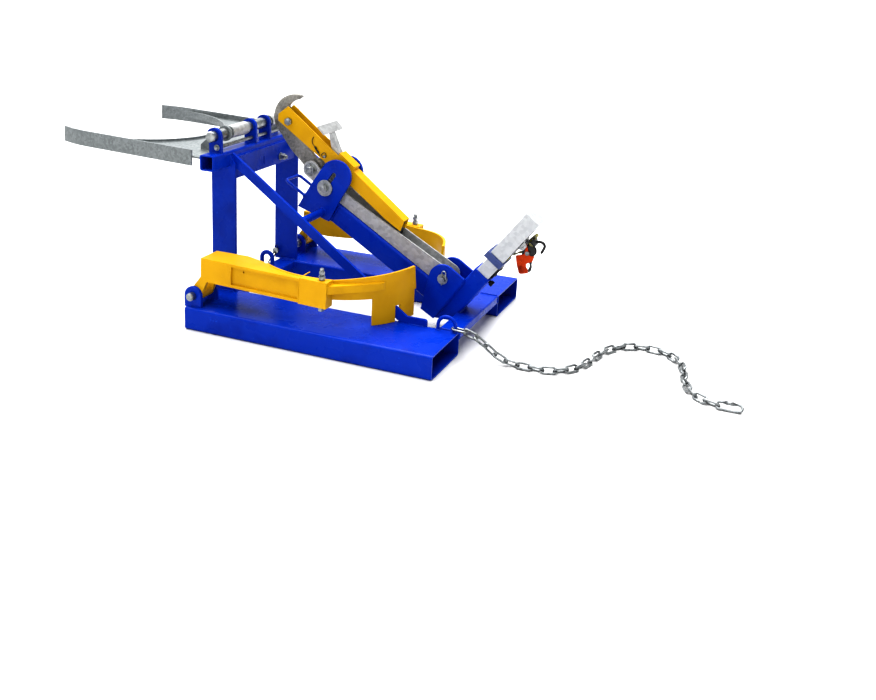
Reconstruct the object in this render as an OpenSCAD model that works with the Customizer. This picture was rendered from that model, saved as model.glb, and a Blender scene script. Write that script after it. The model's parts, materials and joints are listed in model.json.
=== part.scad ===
// Forklift drum lifter, millimetres, +Z up. The forklift slides its forks into the two pockets from +X,
// and the drum hangs in front of the uprights, at -X. Left is -Y and right is +Y.
// The origin lies on the floor, in the middle plane, at the front ends of the pockets.

/* [Fork pockets] */
// Length of each fork pocket
pocket_len = 830; // [800:10:900]
// Outside width of each fork pocket
pocket_w = 224; // [210:2:240]
// Outside height of each fork pocket
pocket_h = 74; // [68:1:84]
// Wall of the pocket tube
pocket_wall = 5; // [4:0.5:7]
// Outside corner radius of the pocket tube
pocket_r = 9; // [8:1:12]
// Gap between the two pockets
pocket_gap = 374; // [360:2:400]
// Width of the cross members that join the pockets
cross_w = 66; // [60:1:80]
// Height of the cross members
cross_h = 27; // [24:1:32]
// Wall of the cross members
cross_wall = 4; // [3:0.5:5]

/* [Uprights and top tube] */
// Distance from a pocket's inner wall to the upright's inner face
upright_inset = 14; // [12:1:20]
// Thickness of the upright plates
upright_t = 10; // [8:1:12]
// Width of the upright plates
upright_w = 88; // [80:1:100]
// How far the uprights stand in front of the pockets
upright_lead = 24; // [15:1:30]
// Height of the top of the uprights above the floor
upright_top = 528; // [515:1:534]
// Outside size of the square top tube
tube_s = 50; // [50:1:56]
// Wall of the top tube
tube_wall = 5; // [4:0.5:6]
// Outside corner radius of the top tube
tube_r = 7; // [6:0.5:9]
// Length of the top tube
tube_len = 622; // [600:2:700]
// Height of the underside of the top tube
tube_z = 490.5; // [480:0.5:500]
// Depth of the flat brace bars
brace_d = 30; // [25:1:36]
// Thickness of the flat brace bars
brace_t = 11; // [8:1:12]
// Diameter of the round cross rods between the braces and the tower
rod_d = 25; // [20:1:30]

/* [Hooks and rim fork] */
// Diameter of the hanger shaft
shaft_d = 34; // [30:1:36]
// Length of the hanger shaft
shaft_len = 566; // [550:2:600]
// Height of the shaft above the top of the tube
shaft_rise = 51.5; // [48:0.5:56]
// Thickness of the hook plates
hook_t = 11; // [8:1:14]
// Width of the hook around the shaft
hook_rim = 9.5; // [8:0.5:11]
// Middle of the outer hooks from the middle plane
hook_out = 256; // [250:1:262]
// Middle of the inner hooks from the middle plane
hook_in = 45; // [30:1:55]
// Diameter of the retaining rod under the shaft
keeper_d = 12; // [10:1:14]
// Radius of the drum that the rim fork fits
drum_r = 285; // [270:1:288]
// Distance from the uprights to the axis of the drum
drum_lead = 423; // [415:1:440]
// Thickness of the yoke plate, the inner flange and the outer bands
fork_t = 6; // [5:0.5:7]
// Height of the outer bands
band_h = 51; // [45:1:60]
// Height of the inner flange under the rim
flange_h = 25; // [20:1:30]
// Angle of the band ends from straight ahead of the drum axis
band_end = 112; // [100:1:125]
// Front-up tilt of the rim fork on the drum
rim_tilt = 2.4; // [0:0.2:4]

/* [Side arms] */
// Outer face of the outer ears from the middle plane
ear_out = 395; // [392:1:398]
// Thickness of the ears
ear_t = 12; // [10:1:13]
// Radius of the ear lobes
ear_r = 30; // [26:1:32]
// Height of the arm hinge above the pocket
ear_rise = 35; // [33:1:40]
// Distance of the arm hinge from the pocket's front end
ear_x = 20; // [14:1:24]
// Diameter of the arm hinge pins
arm_pin_d = 26; // [22:1:28]
// How far the arm pins stand out of the outer ears
arm_pin_out = 20; // [12:1:26]
// Width and height of the arm box
arm_box = 75; // [70:1:78]
// Rear end of the arm box from the hinge
arm_len = 457; // [440:1:465]
// Length of the thicker sleeve at the end of the box
sleeve_len = 92; // [70:1:110]
// How much higher the sleeve is than the box
sleeve_step = 3; // [2:0.5:5]
// Nose-down slope of the arm at rest
arm_droop = 1.7; // [0.8:0.1:1.8]
// Inner radius of the arc that holds the drum
arc_r = 266; // [262:1:270]
// Thickness of the arc plate
arc_t = 8; // [6:1:10]
// Height of the arc plate
arc_h = 75; // [60:1:78]
// Thickness of the lower pad under the end of the arc
pad_t = 6; // [5:0.5:8]

/* [Tower] */
// Distance of the rail pivot from the rear ends of the pockets
pivot_back = 112; // [100:1:118]
// Height of the rail pivot above the pockets
pivot_rise = 108; // [104:1:116]
// Slope of the tower above the floor
tower_slope = 31.2; // [30:0.1:32]
// Width of the mast tube
mast_w = 80; // [78:1:84]
// Depth of the mast tube
mast_d = 67; // [60:1:72]
// Wall of the mast tube
mast_wall = 5; // [4:0.5:6]
// Distance of the mast's upper face below the line of pivots
mast_drop = 30; // [30:0.5:32]
// Thickness of the tower side plates
side_t = 10; // [8:1:12]
// Radius of the rounded head of the tower
head_r = 53; // [50:1:54]
// Diameter of the handle bar
grip_d = 10; // [8:1:12]
// Length of the handle in front of the head plates
grip_len = 82; // [70:1:95]
// Free swing of the rail in the arc slot, in degrees
swing = 6.5; // [3:0.5:7]
// Diameter of the rail pivot pin
pivot_d = 20; // [18:1:22]

/* [Rail, claw and strut] */
// Outside width of the rail channel
rail_w = 64; // [60:1:70]
// Wall of the rail channel
rail_wall = 6; // [4:0.5:6.5]
// Distance from the rail pivot to the claw pivot
rail_len = 558.6; // [550:1:562]
// Diameter of the claw pivot bolt
claw_bolt_d = 20; // [16:1:22]
// Thickness of the claw
claw_t = 16; // [12:1:18]
// Outside width of the strut channel
strut_w = 44; // [42:1:46]
// Wall of the strut channel
strut_wall = 5; // [4:0.5:6]
// Diameter of the link bolt between claw and strut
link_bolt_d = 14; // [12:1:16]
// Width of the stop plate
stop_w = 136; // [100:2:150]
// Thickness of the stop plate
stop_t = 5; // [4:0.5:6]

/* [Post and ratchet] */
// Lean of the post above the floor
post_slope = 53; // [52:0.5:54]
// Width of the post socket
socket_w = 80; // [76:1:80]
// Depth of the post socket
socket_d = 58; // [54:1:60]
// Wall of the post socket
socket_wall = 6; // [5:0.5:7]
// Wall of the post tube
post_wall = 4; // [3:0.5:5]
// Length of the post above the socket at rest, up to its head
post_show = 75; // [70:1:96]
// Length of the post head
post_head = 168; // [150:2:200]
// Travel of the post in its socket
post_travel = 60; // [20:5:60]
// Width of the ratchet
ratchet_w = 46; // [40:1:50]

/* [Chain] */
// Wire diameter of the safety chain
wire = 7; // [6.5:0.1:7.2]
// Inside length of a chain link
link_pitch = 38; // [36:0.5:39]
// Inside width of a chain link
link_gap = 12; // [11:0.5:13]
// Number of links in the safety chain
links = 32; // [24:1:34]

/* [Hidden] */

$fn = 48;
// Fragments of the large arcs
fine = 180;
// Clearance of a seat that is curved, and of plates that slide past each other
seat = 0.3;
// Radial running clearance of pins and shafts
run = 0.05;
BLUE = "#123fc4";
YELLOW = "#f7b91a";
ZINC = "#9a9c9c";
STEEL = "#7f7d7a";
ORANGE = "#c8401a";
BLACK = "#1a1a1a";

pocket_in = pocket_gap / 2;
pocket_out = pocket_in + pocket_w;
upright_y = pocket_in + upright_inset;
tube_x = -2;
tube_top = tube_z + tube_s;
tube_rear = tube_x + tube_s;
shaft_x = tube_x + 20;
shaft_z = tube_top + shaft_rise;
drum_x = -upright_lead - drum_lead;
arm_z = pocket_h + ear_rise;
arm_y1 = ear_out - ear_t - seat;
arm_y0 = arm_y1 - arm_box;
barrel_y0 = arm_y0 - 2;
pivot = [pocket_len - pivot_back, pocket_h + pivot_rise];
side_in = mast_w / 2;
side_out = side_in + side_t;
slot_a = rail_len - 79;
slot_b = -11;
slot_r = norm([slot_a, slot_b]);
slot_w = 15;
slot_from = atan2(slot_b, slot_a);
head_a1 = slot_a + 47;
rod_a = slot_a - 34.6;
rod_b = -mast_drop - mast_d * 0.82;
link_a = rail_len + 151.4;
link_b = 80;
post_dir = [cos(post_slope), sin(post_slope)];
socket_mid = [pivot[0] + 90, pivot[1] - 12];
socket_up = 54;
post_d = socket_d - 2 * socket_wall - 2 * seat;
post_w = socket_w - 2 * socket_wall - 2 * seat;

// Point of the tower's own plane, along it and above it, as a place in the side view
function tower_point(a, b) = [
    pivot[0] - a * cos(tower_slope) + b * sin(tower_slope),
    pivot[1] + a * sin(tower_slope) + b * cos(tower_slope)
];
// Points of an arc in a plane, from one angle to another
function arc(mid, r, from, to, steps) =
    [for (i = [0:steps]) mid + r * [cos(from + (to - from) * i / steps), sin(from + (to - from) * i / steps)]];

rod_at = tower_point(rod_a, rod_b);
brace_from = [tube_rear + 3, upright_top - 16];
brace_slope = atan2(brace_from[1] - rod_at[1], rod_at[0] - brace_from[0]);

module block(lo, hi) {
    translate(lo) cube(hi - lo);
}

// Plate with an outline in the side view, between two distances from the middle plane
module side_plate(y0, y1) {
    translate([0, y1, 0]) rotate([90, 0, 0]) linear_extrude(y1 - y0) children();
}

module bar_y(at, d, y0, y1) {
    side_plate(y0, y1) translate(at) circle(d = d);
}

module both_sides() {
    children();
    mirror([0, 1, 0]) children();
}

// The side arms and the frame's pairs are drawn on the right and mirrored for the left
module on_side(side) {
    if (side == "right") children();
    else mirror([0, 1, 0]) children();
}

module rounded_rect(size, r) {
    translate([r, 0]) square([size[0] - 2 * r, size[1]]);
    translate([0, r]) square([size[0], size[1] - 2 * r]);
    for (x = [r, size[0] - r], y = [r, size[1] - r])
        translate([x, y]) circle(r);
}

module tube_section(size, wall, r) {
    difference() {
        rounded_rect(size, r);
        translate([wall, wall]) rounded_rect(size - [2 * wall, 2 * wall], r - wall * 0.8);
    }
}

// The tower's own plane: x runs up the slope from the rail pivot, z stands square to it
module on_tower() {
    translate([pivot[0], 0, pivot[1]]) rotate([0, tower_slope, 0]) mirror([1, 0, 0]) children();
}

// The post's own line: z runs up it from its mark in the socket, x is its depth towards the rear
module on_post() {
    translate([socket_mid[0], 0, socket_mid[1]]) rotate([0, 90 - post_slope, 0]) children();
}

module hex_bar(af, len) {
    cylinder(d = af / cos(30), h = len, $fn = 6);
}

module fork_pocket() {
    translate([0, pocket_in, 0]) rotate([90, 0, 90]) linear_extrude(pocket_len)
        tube_section([pocket_w, pocket_h], pocket_wall, pocket_r);
}

module cross_member(x) {
    side_plate(-pocket_in, pocket_in) translate([x, pocket_h - cross_h])
        tube_section([cross_w, cross_h], cross_wall, cross_wall + 1);
}

module left_fork_pocket() { color(BLUE) on_side("left") fork_pocket(); }

module right_fork_pocket() { color(BLUE) on_side("right") fork_pocket(); }

module front_cross_member() { color(BLUE) cross_member(0); }

module rear_cross_member() { color(BLUE) cross_member(pocket_len - cross_w); }

// Flat upright with a notch for the top tube, a low front horn and a cut rear corner
module upright() {
    rear = upright_w - upright_lead;
    side_plate(upright_y, upright_y + upright_t) difference() {
        polygon([
            [-upright_lead, pocket_h], [rear, pocket_h], [rear, upright_top - 28],
            [rear - 22, upright_top], [tube_rear - 1, upright_top], [tube_x + 1, tube_z + 6],
            [-upright_lead, tube_z + 6]
        ]);
        translate([tube_x - run, tube_z - run])
            rounded_rect([tube_s + 2 * run, tube_s + 2 * run], tube_r);
        translate([tube_x - run, tube_z + tube_r]) square([tube_s + 2 * run, tube_s]);
    }
}

module left_upright() { color(BLUE) on_side("left") upright(); }

module right_upright() { color(BLUE) on_side("right") upright(); }

module top_cross_tube() {
    color(BLUE) side_plate(-tube_len / 2, tube_len / 2) translate([tube_x, tube_z])
        tube_section([tube_s, tube_s], tube_wall, tube_r);
}

// Plate behind and below the tube, with the narrow slot of the tie
module top_tie_plate() {
    y = upright_y - brace_t;
    color(BLUE) difference() {
        block([tube_rear, -y, tube_z - 40], [tube_rear + tie_t, y, tube_z + 30]);
        block([tube_rear - 1, -22, tube_z - 24], [tube_rear + tie_t + 1, -17, tube_z + 2]);
        translate([tube_rear - 1, tie_y, tie_z]) rotate([0, 90, 0]) cylinder(d = tie_d + 2 * run, h = tie_t + 2);
    }
}

tie_t = 10;
tie_y = 91;
tie_z = tube_z - 17;
tie_d = 12;

// Bolt through the tie plate, with a nut in front and a long plain end behind
module tie_bolt() {
    color(ZINC) translate([tube_rear, tie_y, tie_z]) rotate([0, 90, 0]) {
        translate([0, 0, -20]) cylinder(d = tie_d, h = 20 + tie_t + 26);
        translate([0, 0, -10]) hex_bar(19, 10);
        translate([0, 0, tie_t]) cylinder(d = 26, h = 2.5);
        translate([0, 0, tie_t + 2.5]) hex_bar(19, 16);
    }
}

// Flat bar from the tie plate through the cross rod down to a foot on the pocket
module brace() {
    run_x = (brace_from[1] - pocket_h) / tan(brace_slope);
    half = brace_d / 2;
    heel = brace_from[0] + run_x + half / sin(brace_slope);
    foot_h = 22;
    foot_end = heel + 35;
    side_plate(upright_y - brace_t, upright_y) {
        difference() {
            translate(brace_from) rotate(-brace_slope) translate([-40, -half])
                square([80 + norm([run_x, brace_from[1] - pocket_h]), brace_d]);
            translate([-100, 0]) square([100 + tube_rear, 700]);
            translate([0, -100]) square([2000, 100 + pocket_h]);
        }
        translate([heel - 30, pocket_h]) square([foot_end - heel + 30 - 7, foot_h]);
        translate([foot_end - 8, pocket_h]) square([8, foot_h - 8]);
        translate([foot_end - 8, pocket_h + foot_h - 8]) circle(8);
    }
}

module left_brace() { color(BLUE) on_side("left") brace(); }

module right_brace() { color(BLUE) on_side("right") brace(); }

module cross_rods() {
    color(BLUE) both_sides() bar_y(rod_at, rod_d, side_out, upright_y - brace_t);
}

hook_mid = [hook_in, hook_out];
keeper_at = [shaft_x + 12, tube_top + 17];

// Hook with its mouth to the front, so that the shaft lifts out forwards and up
module hook() {
    side_plate(-hook_t / 2, hook_t / 2) difference() {
        union() {
            translate([tube_x + 3, tube_top]) square([tube_s - 6, 26]);
            translate([shaft_x, shaft_z]) circle(shaft_d / 2 + hook_rim);
            polygon([
                [tube_x + 3, tube_top + 24], [tube_rear - 3, tube_top + 24],
                [shaft_x + shaft_d / 2 + hook_rim, shaft_z], [shaft_x - 20, shaft_z - 18]
            ]);
        }
        translate([shaft_x, shaft_z]) {
            circle(shaft_d / 2 + run);
            rotate(196) translate([0, -shaft_d / 2 - seat]) square([60, shaft_d + 2 * seat]);
        }
        translate(keeper_at) circle(d = keeper_d + 2 * run);
    }
}

module shaft_hooks() {
    color(BLUE) both_sides() for (y = hook_mid)
        translate([0, y, 0]) hook();
}

module keeper_rod() {
    half = hook_out + hook_t / 2 + 8;
    color(ZINC) {
        bar_y(keeper_at, keeper_d, -half, half);
        both_sides() bar_y(keeper_at, keeper_d + 8, hook_out + hook_t / 2, hook_out + hook_t / 2 + 3);
    }
}

module arm_ear(y0) {
    side_plate(y0, y0 + ear_t) difference() {
        union() {
            translate([ear_x - ear_r, pocket_h]) square([2 * ear_r, ear_rise]);
            translate([ear_x, arm_z]) circle(ear_r);
        }
        translate([ear_x, arm_z]) circle(d = arm_pin_d + 2 * run);
    }
}

module arm_ears() {
    arm_ear(ear_out - ear_t);
    arm_ear(barrel_y0 - seat - ear_t);
}

module left_arm_ears() { color(BLUE) on_side("left") arm_ears(); }

module right_arm_ears() { color(BLUE) on_side("right") arm_ears(); }

module arm_hinge_pins() {
    at = [ear_x, arm_z];
    color(ZINC) both_sides() {
        bar_y(at, arm_pin_d, barrel_y0 - ear_t - 12, ear_out + arm_pin_out - 3);
        bar_y(at, arm_pin_d - 4, ear_out + arm_pin_out - 3, ear_out + arm_pin_out);
        bar_y(at, arm_pin_d + 8, barrel_y0 - seat - ear_t - 6, barrel_y0 - seat - ear_t);
    }
}

// Round bar bent to an eye, standing on the height z, in a plane square to Y
module bar_eye(x0, x1, y, z, top, d) {
    r = (x1 - x0 - d) / 2;
    mid = (x0 + x1) / 2;
    translate([mid, y, top - d / 2 - r]) rotate([90, 0, 0]) rotate_extrude(angle = 180)
        translate([r, 0]) circle(d = d);
    for (x = [x0 + d / 2, x1 - d / 2])
        translate([x, y, z]) cylinder(d = d, h = top - d / 2 - r - z);
}

module strap_eye() { color(BLUE) bar_eye(4, 60, 48, pocket_h, pocket_h + 72, 15); }

module chain_eye() {
    color(BLUE) bar_eye(pocket_len - 70, pocket_len - 4, -pocket_in - 12, pocket_h, eye_top, eye_bar);
}

eye_bar = 11;
eye_top = pocket_h + 50;

// Locking pins that hang in the feet of the uprights, each with a flat round head
module foot_lock_pins() {
    at = [-upright_lead + 12, pocket_h + 28];
    color(ZINC) both_sides() {
        bar_y(at, 10, upright_y - 12, upright_y);
        bar_y(at, 23, upright_y - 19, upright_y - 12);
    }
}

mast_from = -24;

module mast_tube() {
    color(BLUE) on_tower() translate([mast_from, -mast_w / 2, -mast_drop - mast_d])
        rotate([90, 0, 90]) linear_extrude(head_a1 - 8 - mast_from)
            tube_section([mast_w, mast_d], mast_wall, mast_wall + 3);
}

// Stretched slot that follows the slot bolt's swing about the rail pivot
module swing_slot() {
    difference() {
        intersection() {
            circle(slot_r + slot_w / 2, $fn = fine);
            polygon([[0, 0], 2 * slot_r * [cos(slot_from), sin(slot_from)],
                2 * slot_r * [cos(slot_from + swing), sin(slot_from + swing)]]);
        }
        circle(slot_r - slot_w / 2, $fn = fine);
    }
    for (turn = [0, swing])
        translate(slot_r * [cos(slot_from + turn), sin(slot_from + turn)]) circle(d = slot_w);
}

module head_plates() {
    color(BLUE) on_tower() both_sides() side_plate(side_in, side_out) difference() {
        union() {
            translate([head_a1 - 3.5 - head_r, 43.5]) circle(head_r);
            polygon([
                [head_a1 - 3.5 - 2 * head_r, 43.5], [slot_a - 64, -19], [slot_a - 70, -mast_drop - mast_d],
                [head_a1, -mast_drop - mast_d - 28], [head_a1, -mast_drop], [head_a1 - 3.5, 43.5]
            ]);
        }
        swing_slot();
    }
}

// Round bar handle, bent twice, that ends on the front edges of the head plates
module tower_handle() {
    mid = (side_in + side_out) / 2;
    bend = 14;
    b = -mast_drop - mast_d * 0.76;
    end = head_a1 + grip_len;
    color(BLUE) on_tower() {
        both_sides() {
            translate([head_a1, mid, b]) rotate([0, 90, 0]) cylinder(d = grip_d, h = grip_len - bend);
            translate([end - bend, mid - bend, b]) rotate_extrude(angle = 90)
                translate([bend, 0]) circle(d = grip_d);
        }
        translate([end, mid - bend, b]) rotate([90, 0, 0]) cylinder(d = grip_d, h = 2 * (mid - bend));
    }
}

bracket_r = 46;

module bracket_plates() {
    rear = pivot + [69, 4];
    color(BLUE) both_sides() side_plate(side_in, side_out) difference() {
        union() {
            translate(pivot) circle(bracket_r);
            polygon([
                pivot + bracket_r * [cos(170), sin(170)], pivot + [-69, -110], pivot + [-24, -136],
                pivot + [-6, -109], rear, pivot + [70, 9], pivot + bracket_r * [cos(62), sin(62)]
            ]);
        }
        translate(pivot) circle(d = pivot_d + 2 * run);
    }
}

// Socket for the post, cut to sit on the front edge of the rear cross member
module socket_tube() {
    color(BLUE) difference() {
        on_post() translate([-socket_d / 2, -socket_w / 2, -200]) linear_extrude(200 + socket_up)
            tube_section([socket_d, socket_w], socket_wall, socket_wall + 1);
        block([0, -200, -200], [2000, 200, pocket_h - cross_h]);
        block([pocket_len - cross_w, -200, -200], [2000, 200, pocket_h]);
        on_post() translate([0, 0, socket_up - 16]) rotate([0, 90, 0])
            cylinder(d = 12 + 2 * run, h = 100);
    }
}

module socket_bolt() {
    color(BLACK) on_post() translate([0, 0, socket_up - 16]) rotate([0, 90, 0]) {
        translate([0, 0, post_d / 2 + seat]) cylinder(d = 12, h = socket_d / 2 - post_d / 2 + 12);
        translate([0, 0, socket_d / 2 + 4]) hex_bar(18, 11);
    }
}

pin_half = side_out + 14;

module rail_pivot_pin() {
    color(ZINC) difference() {
        union() {
            bar_y(pivot, pivot_d, -pin_half, pin_half);
            both_sides() bar_y(pivot, pivot_d + 14, side_out, side_out + 3);
        }
        both_sides() translate([pivot[0], side_out + 8, pivot[1] - 30]) cylinder(d = 4.4, h = 60);
    }
}

module pivot_hairpins() {
    color(ZINC) both_sides() translate([pivot[0], side_out + 8, pivot[1]]) {
        translate([0, 0, -18]) cylinder(d = 4.2, h = 40);
        translate([6, 0, 22]) rotate([90, 0, 0]) rotate_extrude(angle = 180)
            translate([6, 0]) circle(d = 4.2);
        translate([12, 0, 2]) cylinder(d = 4.2, h = 20);
    }
}

// The rim fork is drawn flat and then tilted about its hanger shaft
module on_rim_fork() {
    translate([shaft_x, 0, shaft_z]) rotate([0, rim_tilt, 0]) translate([-shaft_x, 0, -shaft_z]) children();
}

yoke_z = shaft_z - 66;
yoke_rear = tube_x - 10;
flange_r = drum_r + fork_t;
lug_y = hook_out - 61;
lug_t = 8;

module hanger_shaft() {
    color(ZINC) on_rim_fork() {
        bar_y([shaft_x, shaft_z], shaft_d, -shaft_len / 2 + 3, shaft_len / 2 - 3);
        both_sides() translate([shaft_x, shaft_len / 2 - 3, shaft_z]) rotate([-90, 0, 0])
            cylinder(d1 = shaft_d, d2 = shaft_d - 5, h = 3);
    }
}

module shaft_spacers() {
    color(ZINC) on_rim_fork() both_sides() side_plate(lug_y - lug_t / 2 - 115, lug_y - lug_t / 2 - 18)
        translate([shaft_x, shaft_z]) difference() {
            circle(d = shaft_d + 8);
            circle(d = shaft_d + 2 * run);
        }
}

// Lugs that hang the yoke plate from the shaft, each a ring with a leg at its front
module fork_lugs() {
    color(ZINC) on_rim_fork() both_sides() side_plate(lug_y - lug_t / 2, lug_y + lug_t / 2) difference() {
        union() {
            translate([shaft_x, shaft_z]) circle(shaft_d / 2 + 8);
            polygon([
                [shaft_x - 88, yoke_z], [yoke_rear, yoke_z], [yoke_rear, shaft_z - 22], [shaft_x, shaft_z - 22],
                [shaft_x, shaft_z + 24], [shaft_x - 30, shaft_z + 8], [shaft_x - 88, yoke_z + 18]
            ]);
        }
        translate([shaft_x, shaft_z]) circle(d = shaft_d + 2 * run);
        translate([shaft_x - 20, tube_z - 30]) square([80, shaft_z - 26 - tube_z + 30]);
    }
}

// Flat plate between the shaft and the drum, cut out to the rim
module yoke_plate() {
    color(ZINC) on_rim_fork() translate([0, 0, yoke_z - fork_t]) linear_extrude(fork_t) difference() {
        translate([drum_x + 50, -flange_r]) square([yoke_rear - drum_x - 50, 2 * flange_r]);
        translate([drum_x, 0]) circle(flange_r + run, $fn = fine);
    }
}

module rim_flange() {
    color(ZINC) on_rim_fork() translate([drum_x, 0, yoke_z - flange_h / 2 - 3]) rotate(-90)
        rotate_extrude(angle = 180, $fn = fine) translate([drum_r, 0]) square([fork_t, flange_h]);
}

// Outer bands beside the drum that bend round its front
module rim_bands() {
    z = yoke_z - band_h * 0.6;
    rear = yoke_rear - 27;
    color(ZINC) on_rim_fork() both_sides() {
        block([drum_x, flange_r, z], [rear, flange_r + fork_t, z + band_h]);
        translate([drum_x, 0, z]) rotate(90) rotate_extrude(angle = band_end - 90, $fn = fine)
            translate([flange_r, 0]) square([fork_t, band_h]);
    }
}

// Side view levels of the arm, from its hinge
arm_top = 125;
arm_bottom = arm_top - arm_box;
arm_front = 21;
sleeve_x = arm_len - sleeve_len;
arc_mid = [364, 82];
arc_out = arc_r + arc_t;
arc_from = 123;
arc_to = 9;
arc_z = 51;
pad_from = 44;
pad_to = 8;
arm_bolt_at = [435, arm_y1 - 20];
arm_bolt_d = 12;

module at_hinge(side) {
    on_side(side) translate([ear_x, 0, arm_z]) children();
}

module arm_outline() {
    polygon([
        [arm_front, arm_y1], [arm_len, arm_y1], [arm_len, arm_y0], [arc_mid[0] - 146, arm_y0],
        [arm_front + 109, arm_y0 - 26], [arm_front, arm_y0 - 16]
    ]);
}

// Closed box with a recessed outer wall, a thicker sleeve at its end and a barrel on the hinge pin
module arm_box_body() {
    wall = 6;
    recess = 8;
    difference() {
        rotate([0, arm_droop, 0]) difference() {
            union() {
                translate([0, 0, arm_bottom]) linear_extrude(arm_box) arm_outline();
                block([sleeve_x, arm_y0, arm_bottom - sleeve_step], [arm_len, arm_y1, arm_top + sleeve_step]);
                side_plate(barrel_y0, arm_y1) circle(21);
                for (y = [barrel_y0, arm_y1 - 14])
                    side_plate(y, y + 14) polygon([
                        [-15, 14], [18, -10], [arm_front + 22, arm_bottom + 1], [arm_front, arm_bottom + 14]
                    ]);
            }
            side_plate(barrel_y0 - 1, arm_y1 + 1) circle(d = arm_pin_d + 2 * run);
            block([arm_front + wall, arm_y0 + wall, arm_bottom + wall],
                [arc_mid[0] - 130, arm_y1 - wall - recess, arm_top - wall]);
            block([arm_front + 109, arm_y1 - recess, arm_bottom + 9], [sleeve_x, arm_y1 + 1, arm_top - 9]);
            translate([arm_front + 150, arm_y1 - 40, arm_top - 20]) rotate([-90, 0, 0])
                cylinder(d = 6, h = 50);
        }
        translate([arc_mid[0], arc_mid[1], arm_bottom - 40])
            cylinder(r = arc_out + run, h = arm_box + 80, $fn = fine);
        translate([arm_bolt_at[0], arm_bolt_at[1], arm_bottom - 60])
            cylinder(d = arm_bolt_d + 2 * run, h = arm_box + 120);
    }
}

module left_arm_box() { color(YELLOW) at_hinge("left") arm_box_body(); }

module right_arm_box() { color(YELLOW) at_hinge("right") arm_box_body(); }

// Arc plate that hugs the drum, cut on a slant at its end, with a rib on its outside
module arm_arc_body() {
    rib_h = 24;
    rib_z = arc_z + 27;
    rib_x = arm_len / cos(arm_droop) + (rib_z + rib_h) * tan(arm_droop) + run;
    top = arm_top - arm_len * sin(arm_droop);
    difference() {
        translate([arc_mid[0], arc_mid[1], arc_z]) difference() {
            rotate(arc_to - 5) rotate_extrude(angle = arc_from - arc_to + 5, $fn = fine)
                translate([arc_r, 0]) square([arc_t, arc_h]);
            rotate(arc_to) translate([arc_r - 10, 0, arc_h]) rotate([-9, 0, 0])
                translate([0, -60, -arc_h - 20]) cube([40, 60, arc_h + 40]);
        }
        side_plate(-10, 380) polygon([
            [-60, top + 517 * tan(arm_droop)], [arm_len, top], [arm_len + 13, top + 1],
            [arm_len + 163, top + 14.5], [arm_len + 243, top + 22], [arm_len + 243, 190], [-60, 190]
        ]);
    }
    translate([0, 0, rib_z]) linear_extrude(rib_h) difference() {
        polygon([[rib_x, arm_y1 - 6], [rib_x, 330], [582, 238], [588, 244], [586, 258], [572, 274]]);
        translate(arc_mid) circle(arc_out - 2, $fn = fine);
    }
}

module left_arm_arc() { color(YELLOW) at_hinge("left") arm_arc_body(); }

module right_arm_arc() { color(YELLOW) at_hinge("right") arm_arc_body(); }

// Lower pad under the end of the arc, notched over the foot of the brace
module arm_pad_body() {
    low = -ear_rise + seat;
    difference() {
        translate([arc_mid[0], arc_mid[1], low]) rotate(pad_to)
            rotate_extrude(angle = pad_from - pad_to, $fn = fine)
                translate([arc_r + 1, 0]) square([pad_t, arc_z - low]);
        block([500, upright_y - brace_t - 4, low - 1], [700, upright_y + 4, low + 52]);
    }
}

module left_arm_pad() { color(YELLOW) at_hinge("left") arm_pad_body(); }

module right_arm_pad() { color(YELLOW) at_hinge("right") arm_pad_body(); }

// Bolt through the sleeve, with its head below and a lock nut above
module arm_bolt_body() {
    top = arm_top + sleeve_step - 10;
    low = arm_bottom - sleeve_step - 15;
    translate([arm_bolt_at[0], arm_bolt_at[1], 0]) {
        translate([0, 0, low - 12]) cylinder(d = arm_bolt_d, h = top + 34 - low + 12);
        translate([0, 0, low - 12]) hex_bar(19, 10);
        translate([0, 0, top]) hex_bar(19, 10);
        translate([0, 0, top + 16]) hex_bar(17, 8);
    }
}

module left_arm_bolt() { color(ZINC) at_hinge("left") arm_bolt_body(); }

module right_arm_bolt() { color(ZINC) at_hinge("right") arm_bolt_body(); }

rail_low = 29;
web_b = -rail_low + rail_wall;
slot_bolt_d = slot_w - 1;
rail_half = rail_w / 2;
lobe_r = 28;

// Galvanised channel, open at the top, with rounded ends round its two pivots
module rail_channel() {
    color(ZINC) on_tower() {
        both_sides() side_plate(rail_half - rail_wall, rail_half) difference() {
            union() {
                circle(rail_low);
                translate([rail_len, 0]) circle(lobe_r);
                polygon([
                    [0, -rail_low], [rail_len, -lobe_r], [rail_len, lobe_r], [rail_len - 14, lobe_r - 4],
                    [rail_len - 50, 13], [rail_len - 176, 11], [37, lobe_r], [0, rail_low]
                ]);
            }
            circle(d = pivot_d + 2 * run);
            translate([rail_len, 0]) circle(d = claw_bolt_d + 2 * run);
            translate([slot_a, slot_b]) circle(d = slot_bolt_d + 2 * run);
        }
        block([30, -rail_half + rail_wall, -rail_low], [rail_len - 40, rail_half - rail_wall, web_b]);
    }
}

// Bolt that clamps the rail in the arc slots, with inner spacers and big outer washers
module slot_bolt() {
    at = [slot_a, slot_b];
    color(ZINC) on_tower() {
        bar_y(at, slot_bolt_d, -side_out - 18, side_out + 18);
        both_sides() {
            side_plate(rail_half + run, side_in - seat) translate(at) difference() {
                circle(13);
                circle(d = slot_bolt_d + 2 * run);
            }
            side_plate(side_out + seat, side_out + 5) translate(at) difference() {
                circle(27);
                circle(d = slot_bolt_d + 2 * run);
            }
            side_plate(side_out + 5, side_out + 16) translate(at) difference() {
                circle(14, $fn = 6);
                circle(d = slot_bolt_d + 2 * run);
            }
        }
    }
}

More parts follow.
